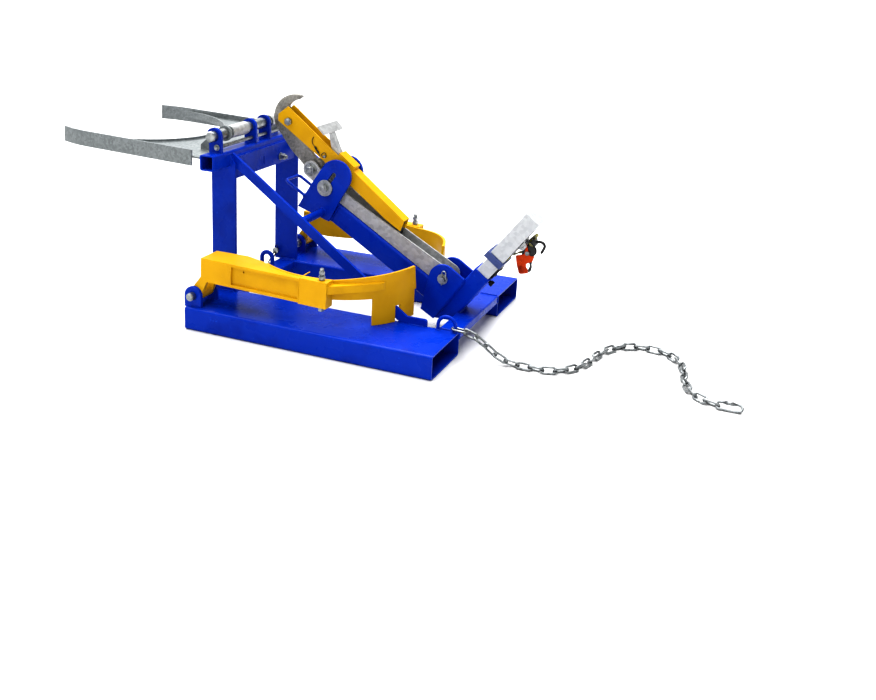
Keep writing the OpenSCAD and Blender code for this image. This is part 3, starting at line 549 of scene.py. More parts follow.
@dataclass
class Finishes:
    """The lifter's materials, each built once and handed to the sub-assemblies."""

    built: dict[Finish, Material] = field(
        default_factory=lambda: {kind: kind.value.build() for kind in Finish}
    )

    def __getitem__(self, kind: Finish) -> Material:
        """Returns the material of a finish."""
        return self.built[kind]

    def of(self, slot: Slot) -> Material:
        """Returns the material of one of the record's slots."""
        return self.built[Finish[slot.name]]


def mesh_piece(
    name: str, mesh: Mesh, finish: Material, body: str, slot: Slot, smooth: float = 40.0
) -> bpy.types.Object:
    """Makes an object from points and faces, dresses it and lets it ride on a body.

    Args:
        name: Name of the piece.
        mesh: Its points in the row frame and its faces.
        finish: Its material.
        body: The body that it moves with.
        slot: Not used.
        smooth: Edges sharper than this angle, in degrees, stay hard.

    Returns:
        The new object.
    """
    verts, faces = mesh
    data = bpy.data.meshes.new(name)
    data.from_pydata([tuple(v) for v in verts], [], [tuple(f) for f in faces])
    work = bmesh.new()
    work.from_mesh(data)
    bmesh.ops.recalc_face_normals(work, faces=work.faces)
    for face in work.faces:
        face.smooth = True
    for edge in work.edges:
        soft = len(edge.link_faces) == 2 and edge.calc_face_angle(0.0) < math.radians(smooth)
        edge.smooth = soft
    work.to_mesh(data)
    work.free()
    piece = bpy.data.objects.new(name, data)
    bpy.context.scene.collection.objects.link(piece)
    data.materials.append(finish)
    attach(piece, body)
    LOG.info("piece %s: %d faces on %s", name, len(data.polygons), body)
    return piece


def joined(parts: Sequence[Mesh]) -> Mesh:
    """Several meshes as one.

    Args:
        parts: Points and faces of each.

    Returns:
        All points and faces.
    """
    verts: list[Vector] = []
    faces: list[Face] = []
    for more, rings in parts:
        base = len(verts)
        verts += more
        faces += [tuple(i + base for i in ring) for ring in rings]
    return verts, faces


def circle(sides: int) -> list[Flat]:
    """Returns the cosine and the sine of evenly spread turns."""
    turns = [2 * math.pi * k / sides for k in range(sides)]
    return [(math.cos(t), math.sin(t)) for t in turns]


def disc(middle: Flat, radius: float, sides: int = 28) -> list[Flat]:
    """Points of a circle in an outline's plane.

    Args:
        middle: Its middle.
        radius: Its radius.
        sides: How many points.

    Returns:
        The points.
    """
    return [(middle[0] + radius * c, middle[1] + radius * s) for c, s in circle(sides)]


def skin(rows: int, sides: int, closed: bool = False) -> list[Face]:
    """Faces over rows of points, each row a ring.

    Args:
        rows: How many rings.
        sides: Points of each ring.
        closed: Whether the last ring joins the first. If not, both ends are capped.

    Returns:
        The faces.
    """
    faces: list[Face] = []
    for i in range(rows if closed else rows - 1):
        j = (i + 1) % rows
        for k in range(sides):
            m = (k + 1) % sides
            faces.append((i * sides + k, i * sides + m, j * sides + m, j * sides + k))
    if not closed:
        faces += [tuple(range(sides)), tuple(range((rows - 1) * sides, rows * sides))]
    return faces


def frames_along(path: Sequence[Vector], closed: bool) -> list[tuple[Vector, Vector]]:
    """Untwisted frames along a path.

    Args:
        path: The points.
        closed: Whether the last point joins the first.

    Returns:
        The two side vectors at each point.
    """
    count = len(path)
    out: list[tuple[Vector, Vector]] = []
    side = None
    for i, point in enumerate(path):
        ahead = path[(i + 1) % count] if closed or i < count - 1 else point
        behind = path[i - 1] if closed or i > 0 else point
        way = (ahead - behind).normalized()
        if side is None:
            side = way.orthogonal().normalized()
        side = (side - way * side.dot(way)).normalized()
        out.append((side.copy(), way.cross(side)))
    return out


def swept(
    path: Sequence[Vector], radius: Callable[[int], float], sides: int = 10, closed: bool = False
) -> Mesh:
    """A round bar along a path.

    Args:
        path: The points of its middle line.
        radius: Radius at each point's number.
        sides: Faces round the bar.
        closed: Whether the bar is a ring.

    Returns:
        Points and faces.
    """
    verts: list[Vector] = []
    for i, (a, b) in enumerate(frames_along(path, closed)):
        r = radius(i)
        verts += [path[i] + a * (r * c) + b * (r * s) for c, s in circle(sides)]
    return verts, skin(len(path), sides, closed)


def turned(profile: Sequence[Flat], foot: Vector, axis: Vector, sides: int = 40) -> Mesh:
    """A turned piece: a profile swept round an axis.

    Args:
        profile: Radii with their heights, from the foot up.
        foot: The point of the axis at height nought.
        axis: Direction of the axis.
        sides: Faces round the axis.

    Returns:
        Points and faces.
    """
    way = axis.normalized()
    a = way.orthogonal().normalized()
    b = way.cross(a)
    ring = circle(sides)
    verts = [foot + way * h + a * (r * c) + b * (r * s) for r, h in profile for c, s in ring]
    return verts, skin(len(profile), sides)


def thread(
    foot: Vector, axis: Vector, radius: float, length: float, pitch: float = 1.75 * MM
) -> Mesh:
    """A screw thread as a rippled sleeve, with its roots just inside the bar.

    Args:
        foot: Start of the thread on the bar's axis.
        axis: Direction of the bar.
        radius: Radius of the bar.
        length: Length of the thread, of which there are at least two turns.
        pitch: Distance between two crests.

    Returns:
        Points and faces.
    """
    root, crest, end = radius - 0.2 * MM, radius + 0.45 * MM, radius - 0.4 * MM
    count = max(2, int(length / pitch))
    profile = []
    for i in range(count):
        profile += [(root, i * pitch), (crest, (i + 0.5) * pitch)]
    return turned([*profile, (end, count * pitch)], foot, axis, 28)


def resample(points: Sequence[Vector], step: float) -> list[Vector]:
    """Points at an even step along a polyline.

    Args:
        points: The corners.
        step: Distance between two points.

    Returns:
        The new points, ends included.
    """
    out = [points[0].copy()]
    for a, b in zip(points, points[1:]):
        count = max(1, round((b - a).length / step))
        out += [a.lerp(b, k / count) for k in range(1, count + 1)]
    return out


def smooth_path(points: Sequence[Vector], per: int = 8) -> list[Vector]:
    """A Catmull-Rom curve through the points.

    Args:
        points: The points it passes.
        per: New points for each stretch.

    Returns:
        The curve's points.
    """
    out: list[Vector] = []
    for i in range(len(points) - 1):
        p0, p3 = points[max(i - 1, 0)], points[min(i + 2, len(points) - 1)]
        p1, p2 = points[i], points[i + 1]
        square = 2 * p0 - 5 * p1 + 4 * p2 - p3
        cube = 3 * p1 - p0 - 3 * p2 + p3
        for k in range(per):
            t = k / per
            out.append(0.5 * ((2 * p1) + (p2 - p0) * t + square * t * t + cube * t * t * t))
    out.append(points[-1].copy())
    return out


def flat_curve(points: Sequence[Flat], per: int = 6) -> list[Flat]:
    """A smooth curve through points of an outline's plane.

    Args:
        points: The points it passes.
        per: New points for each stretch.

    Returns:
        The curve's points.
    """
    return [(v.x, v.y) for v in smooth_path([Vector((a, b, 0.0)) for a, b in points], per)]


def filleted(corners: Sequence[Flat], radius: float, per: int = 5) -> list[Flat]:
    """An outline with its corners rounded.

    Args:
        corners: The sharp outline.
        radius: How far each rounding reaches along its two sides, up to nearly half of a side.
        per: Points of each rounding.

    Returns:
        The rounded outline.
    """
    most = 0.45
    out = []
    for i, corner in enumerate(corners):
        here = Vector(corner)
        before = Vector(corners[i - 1]) - here
        after = Vector(corners[(i + 1) % len(corners)]) - here
        start = here + before.normalized() * min(radius, before.length * most)
        end = here + after.normalized() * min(radius, after.length * most)
        for k in range(per + 1):
            t = k / per
            spot = start * (1 - t) ** 2 + here * (2 * t * (1 - t)) + end * t**2
            out.append((spot.x, spot.y))
    return out


def plate(
    rings: Sequence[Sequence[Flat]], low: float, high: float, place: Place, edge: float = 0.5 * MM
) -> Mesh:
    """A flat plate with holes and softened edges, set in its place.

    Args:
        rings: The outline and then its holes.
        low: Its first face across the middle plane.
        high: Its other face.
        place: Turns the outline's two coordinates and the width into a point of the row frame.
        edge: Width of the softened edge.

    Returns:
        Points and faces.
    """
    curve = bpy.data.curves.new("outline", "CURVE")
    curve.dimensions = "2D"
    curve.fill_mode = "BOTH"
    curve.extrude = (high - low) / 2 - edge
    curve.bevel_depth = edge
    curve.bevel_resolution = 1
    curve.offset = -edge
    for ring in rings:
        spline = curve.splines.new("POLY")
        spline.points.add(len(ring) - 1)
        for point, (a, b) in zip(spline.points, ring):
            point.co = (a, b, 0.0, 1.0)
        spline.use_cyclic_u = True
    holder = bpy.data.objects.new("outline", curve)
    data = bpy.data.meshes.new_from_object(holder)
    work = bmesh.new()
    work.from_mesh(data)
    bmesh.ops.remove_doubles(work, verts=work.verts, dist=0.02 * MM)
    work.verts.index_update()
    middle = (high + low) / 2
    verts = [place(v.co.x, v.co.y, middle + v.co.z) for v in work.verts]
    faces = [tuple(v.index for v in face.verts) for face in work.faces]
    work.free()
    bpy.data.objects.remove(holder)
    bpy.data.meshes.remove(data)
    bpy.data.curves.remove(curve)
    return verts, faces


def ribbon(path: Sequence[Flat], half: float, thick: float, place: Place) -> Mesh:
    """A flat strap that follows a path, with rounded selvedges.

    Args:
        path: Its middle line in the outline's plane.
        half: Half of its width.
        thick: Its thickness.
        place: Turns the two coordinates and the width into a point of the row frame.

    Returns:
        Points and faces.
    """
    flat = half * 0.94  # where the selvedge begins to round off
    section = [(-half, 0.0), (-flat, 0.5), (flat, 0.5), (half, 0.0), (flat, -0.5), (-flat, -0.5)]
    verts = []
    for i, (a, b) in enumerate(path):
        ahead, behind = path[min(i + 1, len(path) - 1)], path[max(i - 1, 0)]
        way = Vector((ahead[0] - behind[0], ahead[1] - behind[1])).normalized()
        for y, off in section:
            verts.append(place(a - way.y * off * thick, b + way.x * off * thick, y))
    return verts, skin(len(path), len(section))


@dataclass
class WeldShop:
    """Lays weld beads: half-sunk bars with the ripples of a hand-run pass."""

    finish: Material
    slot: Slot
    body: str
    radius: float = 3.2 * MM
    ripple: float = 4.2 * MM
    per_ripple: float = 2.6
    wobbles: float = 190.0
    ring_step: float = 1.6 * MM
    smooth: float = 80.0
    made: list[Mesh] = field(default_factory=list)

    def bead(
        self, *points: Sequence[float], closed: bool = False, radius: float | None = None
    ) -> None:
        """Adds one bead along a line.

        Args:
            points: Corners of the line in the row frame.
            closed: Whether the line is a ring.
            radius: Radius of the bead, or none for the shop's own.
        """
        corners = [Vector(p) for p in points]
        if closed:
            corners.append(corners[0])
        path = resample(corners, self.ripple / self.per_ripple)
        if closed:
            path.pop()
        size = radius or self.radius

        def width(i: int) -> float:
            """The bead's radius at a point: rippled, uneven and thin at open ends.

            Args:
                i: The point's number.

            Returns:
                The radius.
            """
            wave = abs(math.sin(math.pi * i / self.per_ripple))
            wobble = noise.noise(path[i] * self.wobbles)
            end = 1.0 if closed else min(1.0, 0.45 + 0.3 * min(i, len(path) - 1 - i))
            return size * end * (0.86 + 0.2 * wave + 0.16 * wobble)

        self.made.append(swept(path, width, 8, closed))

    def ring(self, middle: Sequence[float], axis: Sequence[float], radius: float) -> None:
        """Adds a bead round a bar.

        Args:
            middle: Middle of the circle.
            axis: Its axis.
            radius: Its radius.
        """
        way = Vector(axis).normalized()
        a = Vector((0, 0, 1)) if abs(way.z) < 0.9 else Vector((1, 0, 0))
        a = (a - way * a.dot(way)).normalized()
        b = way.cross(a)
        count = max(8, int(radius * math.radians(360.0) / self.ring_step))
        angles = [math.radians(360.0 * k / count) for k in range(count)]
        spots = [
            Vector(middle) + a * (radius * math.cos(t)) + b * (radius * math.sin(t)) for t in angles
        ]
        self.bead(*spots, closed=True)

    def mirrored(self, *points: Sequence[float], **options: float) -> None:
        """Adds a bead on both sides of the middle plane."""
        self.bead(*points, **options)
        self.bead(*[(p[0], -p[1], p[2]) for p in points], **options)

    def finish_as(self, name: str) -> None:
        """Joins the beads into one piece."""
        mesh_piece(name, joined(self.made), self.finish, self.body, self.slot, self.smooth)


@dataclass
class CarriedNodes:
    """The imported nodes, which keep their shape and get a finish and softened edges."""

    finishes: Finishes
    soft_edge: float = 0.9 * MM
    fine_edge: float = 0.45 * MM
    corner: float = 0.01 * MM
    flat_angle: float = 0.5
    hard_angle: float = 35.0
    round_nodes: tuple[str, ...] = ("safety_chain", "snap_hook")
    dull_nodes: tuple[str, ...] = ("rim_bands", "rim_flange", "yoke_plate", "fork_lugs")
    bright_nodes: tuple[str, ...] = ("post_tube", "post_head_channel")
    fine_nodes: tuple[str, ...] = ("pivot_hairpins",)

    def finish_of(self, name: str, slot: Slot) -> Material:
        """A node's finish: its slot's own, or the variant that the photograph shows there.

        Args:
            name: Name of the node.
            slot: Its slot in the record.

        Returns:
            The material.
        """
        for kind, names in (
            (Finish.CHAIN, self.round_nodes),
            (Finish.WEATHERED, self.dull_nodes),
            (Finish.FRESH, self.bright_nodes),
        ):
            if name in names:
                return self.finishes[kind]
        return self.finishes.of(slot)

    def dress(self) -> None:
        """Gives every node its finish, smooth curves and a small bevel on its hard edges."""
        slots = {row["node"]: row["material_slot"] for row in frame["record"]["subparts"]}
        for name, node in frame["nodes"].items():
            finish = self.finish_of(name, Slot(slots[name]))
            node.data.materials.clear()
            node.data.materials.append(finish)
            for face in node.data.polygons:
                face.material_index = 0
                face.use_smooth = True
            node.modifiers.new("join_corners", "WELD").merge_threshold = self.corner
            if name not in self.round_nodes:
                self.soften(node, self.fine_edge if name in self.fine_nodes else self.soft_edge)
            LOG.info("node %s in %s", name, finish.name)

    def soften(self, node: bpy.types.Object, width: float) -> None:
        """Merges flat faces and rounds the hard edges, as grinding and paint do.

        Args:
            node: The carried node.
            width: Width of the rounded edge.
        """
        flats = node.modifiers.new("merge_flats", "DECIMATE")
        flats.decimate_type = "DISSOLVE"
        flats.angle_limit = math.radians(self.flat_angle)
        flats.delimit = {"NORMAL"}
        bevel = node.modifiers.new("soft_edges", "BEVEL")
        bevel.width = width
        bevel.segments = 2
        bevel.limit_method = "ANGLE"
        bevel.angle_limit = math.radians(self.hard_angle)
        bevel.use_clamp_overlap = True
        even = node.modifiers.new("even_shading", "WEIGHTED_NORMAL")
        even.keep_sharp = True
        even.weight = 60


@dataclass
class FrameWelds:
    """Beads that join the blue frame: pockets, uprights, hooks, ears, braces, rods and socket."""

    finish: Material
    thin: float = 2.8 * MM
    pocket_top: float = 0.074
    upright_x: Flat = (-0.022, 0.062)
    upright_rear: float = 0.0645
    upright_faces: tuple[float, ...] = (0.201, 0.211)
    upright_notch: tuple[Flat, ...] = (
        (0.006, 0.4902), (0.0475, 0.4902), (0.0484, 0.497), (0.0484, 0.526)
    )
    ear_x: Flat = (-0.010, 0.050)
    ear_faces: tuple[float, ...] = (0.2934, 0.3054, 0.383, 0.395)
    brace_x: Flat = (0.668, 0.722)
    brace_faces: tuple[float, ...] = (0.2012, 0.1898)
    brace_head: Line = ((0.0592, 0.1895, 0.4985), (0.0592, 0.1895, 0.5195))
    brace_tip: Line = ((0.0486, 0.1900, 0.5215), (0.0486, 0.1900, 0.5300))
    tie_plate: Line = ((0.0485, -0.188, 0.5212), (0.0485, 0.188, 0.5212))
    # Front and rear of each cross member, and where its beads run on the pockets.
    member_x: tuple[Flat, ...] = ((0.004, 0.062), (0.768, 0.826))
    member_end: float = 0.1885
    member_side: float = 0.187
    member_heights: Flat = (0.071, 0.050)
    # X of each bar eye's two legs, their Y and their radius.
    bar_eyes: tuple[tuple[Flat, float, float], ...] = (
        ((0.0115, 0.0525), 0.048, 0.0080), ((0.7655, 0.8205), -0.199, 0.0060)
    )
    hook_x: Flat = (0.003, 0.043)
    hook_mids: tuple[float, ...] = (0.045, 0.256)
    hook_half: float = 0.0055
    tube_top: float = 0.5405
    rod_at: Flat = (0.2933, 0.3399)
    rod_ends: tuple[float, ...] = (0.0505, 0.1895)
    rod_ring: float = 0.0130
    # On the tower: the head plates' front edge and the mast's lower edge under them.
    mast_face: float = 0.0415
    head_plate: tuple[Flat, Flat] = ((0.4085, -0.034), (0.4085, -0.094))
    mast_edge: Line = ((0.412, -0.0985, 0.0425), (0.516, -0.0985, 0.0425))
    handle_at: Point = (0.5272, -0.0809, 0.045)
    handle_ring: float = 0.0058
    # From the rail's hinge: the bracket plates' rear edge and their front one.
    bracket_rear: Line = ((-0.004, 0.0435, -0.107), (0.0665, 0.0435, 0.0005))
    bracket_front: Line = ((-0.066, 0.0415, -0.104), (-0.049, 0.0415, -0.012))
    # The socket's foot on the rear cross member.
    socket_side: Line = ((0.7645, 0.040, 0.074), (0.7720, 0.040, 0.074))
    socket_rear: Line = ((0.7735, -0.038, 0.0740), (0.7735, 0.038, 0.0740))
    socket_under: Line = ((0.7638, -0.038, 0.0480), (0.7638, 0.038, 0.0480))

    def feet(self, shop: WeldShop) -> None:
        """Runs beads round the feet of the uprights, ears and braces.

        Args:
            shop: Where they are laid.
        """
        z = self.pocket_top
        for y in self.upright_faces:
            shop.mirrored(*[(x, y, z) for x in self.upright_x])
        shop.mirrored(*[(self.upright_rear, y, z) for y in self.upright_faces])
        for y in self.ear_faces:
            shop.mirrored(*[(x, y, z) for x in self.ear_x], radius=self.thin)
        for y in self.brace_faces:
            shop.mirrored(*[(x, y, z) for x in self.brace_x])
        for front, rear in self.member_x:
            seam = [(x, self.member_end, z - 0.5 * MM) for x in (front, rear)]
            shop.mirrored(*seam, radius=4.2 * MM)
            down = [(rear + 4 * MM, self.member_side, height) for height in self.member_heights]
            shop.mirrored(*down, radius=3.4 * MM)
        for legs, y, radius in self.bar_eyes:
            for x in legs:
                shop.ring((x, y, z), UP, radius)

    def top(self, shop: WeldShop) -> None:
        """Runs beads along the hooks, the notches of the uprights and the tie plate.

        Args:
            shop: Where they are laid.
        """
        for middle in self.hook_mids:
            for y in (middle - self.hook_half, middle + self.hook_half):
                shop.mirrored(*[(x, y, self.tube_top) for x in self.hook_x], radius=self.thin)
        for y in self.upright_faces:
            shop.mirrored(*[(x, y, z) for x, z in self.upright_notch])
        shop.mirrored(*self.brace_head)
        shop.mirrored(*self.brace_tip, radius=2.6 * MM)
        shop.bead(*self.tie_plate, radius=2.6 * MM)

    def tower(self, shop: WeldShop) -> None:
        """Runs beads where the rods, plates, handle and socket meet the mast.

        Args:
            shop: Where they are laid.
        """
        for y in self.rod_ends:
            for side in SIDES:
                shop.ring((self.rod_at[0], side * y, self.rod_at[1]), ACROSS, self.rod_ring)
        shop.mirrored(*[on_tower(*spot, self.mast_face) for spot in self.head_plate])
        shop.mirrored(*[on_tower(*spot) for spot in self.mast_edge], radius=self.thin)
        along, above, half = self.handle_at
        slope = on_tower(1, 0, 0) - on_tower(0, 0, 0)
        for side in SIDES:
            shop.ring(on_tower(along, above, side * half), slope, self.handle_ring)
        for seam, radius in ((self.bracket_rear, 4.6 * MM), (self.bracket_front, shop.radius)):
            shop.mirrored(*[(PIVOT[0] + x, y, PIVOT[1] + z) for x, y, z in seam], radius=radius)
        shop.mirrored(*self.socket_side)
        shop.bead(*self.socket_rear, radius=3.6 * MM)
        shop.bead(*self.socket_under)

    def build(self) -> None:
        """Makes the frame's beads as three pieces."""
        for name, work in (
            ("weld_feet", self.feet),
            ("weld_top", self.top),
            ("weld_tower", self.tower),
        ):
            shop = WeldShop(self.finish, Slot.BLUE, "frame")
            work(shop)
            shop.finish_as(name)


@dataclass
class RimForkWelds:
    """Galvanised beads of the rim fork: lugs, inner flange and outer bands on the yoke plate."""

    finish: Material
    bead: float = 2.4 * MM
    ripple: float = 4.8 * MM
    drum_x: float = -0.447
    flange_r: float = 0.2915
    flange_half_angle: float = 78.0
    plate_faces: tuple[float, ...] = (0.526, 0.520)
    band_x: Flat = (-0.394, -0.042)
    band_y: float = 0.2905
    lug_x: Flat = (-0.068, -0.014)
    lug_faces: tuple[float, ...] = (0.191, 0.199)
    spacer_ends: tuple[float, ...] = (0.1735, 0.0755)
    spacer_r: float = 0.0185

    def build(self) -> None:
        """Makes the beads as one piece."""
        shop = WeldShop(
            self.finish, Slot.GALVANISED, "rim_fork", radius=self.bead, ripple=self.ripple
        )
        wide = self.flange_half_angle
        arc = [math.radians(-wide + 2 * wide * k / 120) for k in range(121)]
        flange = [
            (self.drum_x + self.flange_r * math.cos(t), self.flange_r * math.sin(t)) for t in arc
        ]
        for z in self.plate_faces:
            shop.bead(*[on_fork(x, y, z) for x, y in flange])
            shop.mirrored(*[on_fork(x, self.band_y, z) for x in self.band_x])
        for y in self.lug_faces:
            shop.mirrored(*[on_fork(x, y, self.plate_faces[0]) for x in self.lug_x])
        for y in self.spacer_ends:
            for side in SIDES:
                shop.ring((SHAFT[0], side * y, SHAFT[1]), ACROSS, self.spacer_r)
        shop.finish_as("weld_rim_fork")


@dataclass
class SideArm:
    """One yellow side arm: its beads and the thread of its sleeve bolt.

    Its places are given from the arm's hinge.
    """

    finishes: Finishes
    side: str
    arc_mid: Flat = (0.364, 0.082)
    arc_out: float = 0.274
    box_heights: tuple[float, ...] = (0.1250, 0.0500)
    box_arc: Flat = (71, 118)
    rib_heights: tuple[float, ...] = (0.1021, 0.0779)
    rib_arc: Flat = (38, 66)
    # X and height of the two seams at the rib's end, and their Y.
    rib_ends: tuple[Flat, ...] = ((0.4602, 0.1022), (0.4595, 0.0778))
    rib_y: Flat = (0.374, 0.332)
    # The seams round the box's end plate: two level ones and the outer upright one.
    end_x: float = 0.3648
    end_y: Flat = (0.3115, 0.3815)
    end_heights: Flat = (0.0485, 0.1265)
    end_outer: Line = ((0.3645, 0.3829, 0.052), (0.3645, 0.3829, 0.123))
    bolt: Flat = (0.435, 0.3627)
    bolt_radius: float = 0.006
    # Height and length of the threads between and above the nuts.
    bolt_threads: tuple[Flat, ...] = ((0.1281, 0.0058), (0.1421, 0.0098))

    @property
    def sign(self) -> float:
        """Returns the side's direction along Y."""
        return 1.0 if self.side == "right" else -1.0

    def place(self, x: float, y: float, z: float, droop: bool = False) -> Vector:
        """A point given from the arm's hinge.

        Args:
            x: Distance along the arm.
            y: Distance from the middle plane, outwards.
            z: Height above the hinge.
            droop: Whether the point belongs to the box, which slopes down.

        Returns:
            The point in the row frame.
        """
        if droop:
            c, s = math.cos(ARM_DROOP), math.sin(ARM_DROOP)
            x, z = x * c + z * s, z * c - x * s
        return Vector((ARM_HINGE[0] + x, self.sign * y, ARM_HINGE[1] + z))

    def round_arc(self, span: Flat, radius: float, height: float, slope: float) -> list[Vector]:
        """Points along the arc plate.

        Args:
            span: First and last angle in degrees.
            radius: Distance from the arc's middle.
            height: Height at the hinge.
            slope: How much it falls for each metre along the arm.

        Returns:
            The points.
        """
        out = []
        for k in range(61):
            turn = math.radians(span[0] + (span[1] - span[0]) * k / 60)
            x = self.arc_mid[0] + radius * math.cos(turn)
            y = self.arc_mid[1] + radius * math.sin(turn)
            out.append(self.place(x, y, height - x * slope))
        return out

    def build(self) -> None:
        """Makes the beads and the thread."""
        body = self.side + "_arm"
        shop = WeldShop(self.finishes[Finish.YELLOW], Slot.YELLOW, body, radius=2.6 * MM)
        fall = math.tan(ARM_DROOP)
        for height in self.box_heights:
            shop.bead(*self.round_arc(self.box_arc, self.arc_out + 0.0005, height, fall))
        for height in self.rib_heights:
            shop.bead(*self.round_arc(self.rib_arc, self.arc_out + 0.0004, height, 0.0))
        for z in self.end_heights:
            level = [self.place(self.end_x, y, z, True) for y in self.end_y]
            shop.bead(*level, radius=2.0 * MM)
        outer = [self.place(*spot, True) for spot in self.end_outer]
        shop.bead(*outer, radius=1.8 * MM)
        for x, z in self.rib_ends:
            shop.bead(*[self.place(x, y, z) for y in self.rib_y], radius=2.4 * MM)
        shop.finish_as(f"weld_{body}")
        threads = [
            thread(self.place(*self.bolt, z), Vector(UP), self.bolt_radius, length)
            for z, length in self.bolt_threads
        ]
        zinc = self.finishes[Finish.ZINC]
        mesh_piece(f"thread_{body}_bolt", joined(threads), zinc, body, Slot.ZINC)


@dataclass
class BoltThreads:
    """Threads that stand out of the nuts of the tower, the rail, the claw and the tie plate."""

    finish: Material
    tie_end: Point = (0.0767, 0.091, 0.4735)
    tie_radius: float = 0.006
    tie_shown: float = 0.0070
    shown: float = 0.0016
    # Place on the tower with the half length, and the radius of each bolt across.
    slot_bolt: tuple[Point, float] = ((0.4796, -0.011, 0.0662), 0.007)
    claw_bolt: tuple[Point, float] = ((0.5586, 0.0, 0.0462), 0.010)
    link_bolt: tuple[Point, float] = ((0.710, 0.080, 0.0332), 0.007)

    def ends(self, bolt: tuple[Point, float]) -> list[Mesh]:
        """The threads at both ends of a bolt across the tower.

        Args:
            bolt: Its place, half length and radius.

        Returns:
            Both threads.
        """
        (along, above, half), radius = bolt
        return [
            thread(on_tower(along, above, s * half), Vector(ACROSS) * s, radius, self.shown)
            for s in SIDES
        ]

    def build(self) -> None:
        """Makes the threads body by body."""
        tie = [thread(Vector(self.tie_end), Vector((1, 0, 0)), self.tie_radius, self.tie_shown)]
        rail = self.ends(self.slot_bolt) + self.ends(self.claw_bolt)
        for name, parts, body in (
            ("thread_tie_bolt", tie, "frame"),
            ("thread_rail_bolts", rail, "rail"),
            ("thread_link_bolt", self.ends(self.link_bolt), "claw"),
        ):
            mesh_piece(name, joined(parts), self.finish, body, Slot.ZINC)


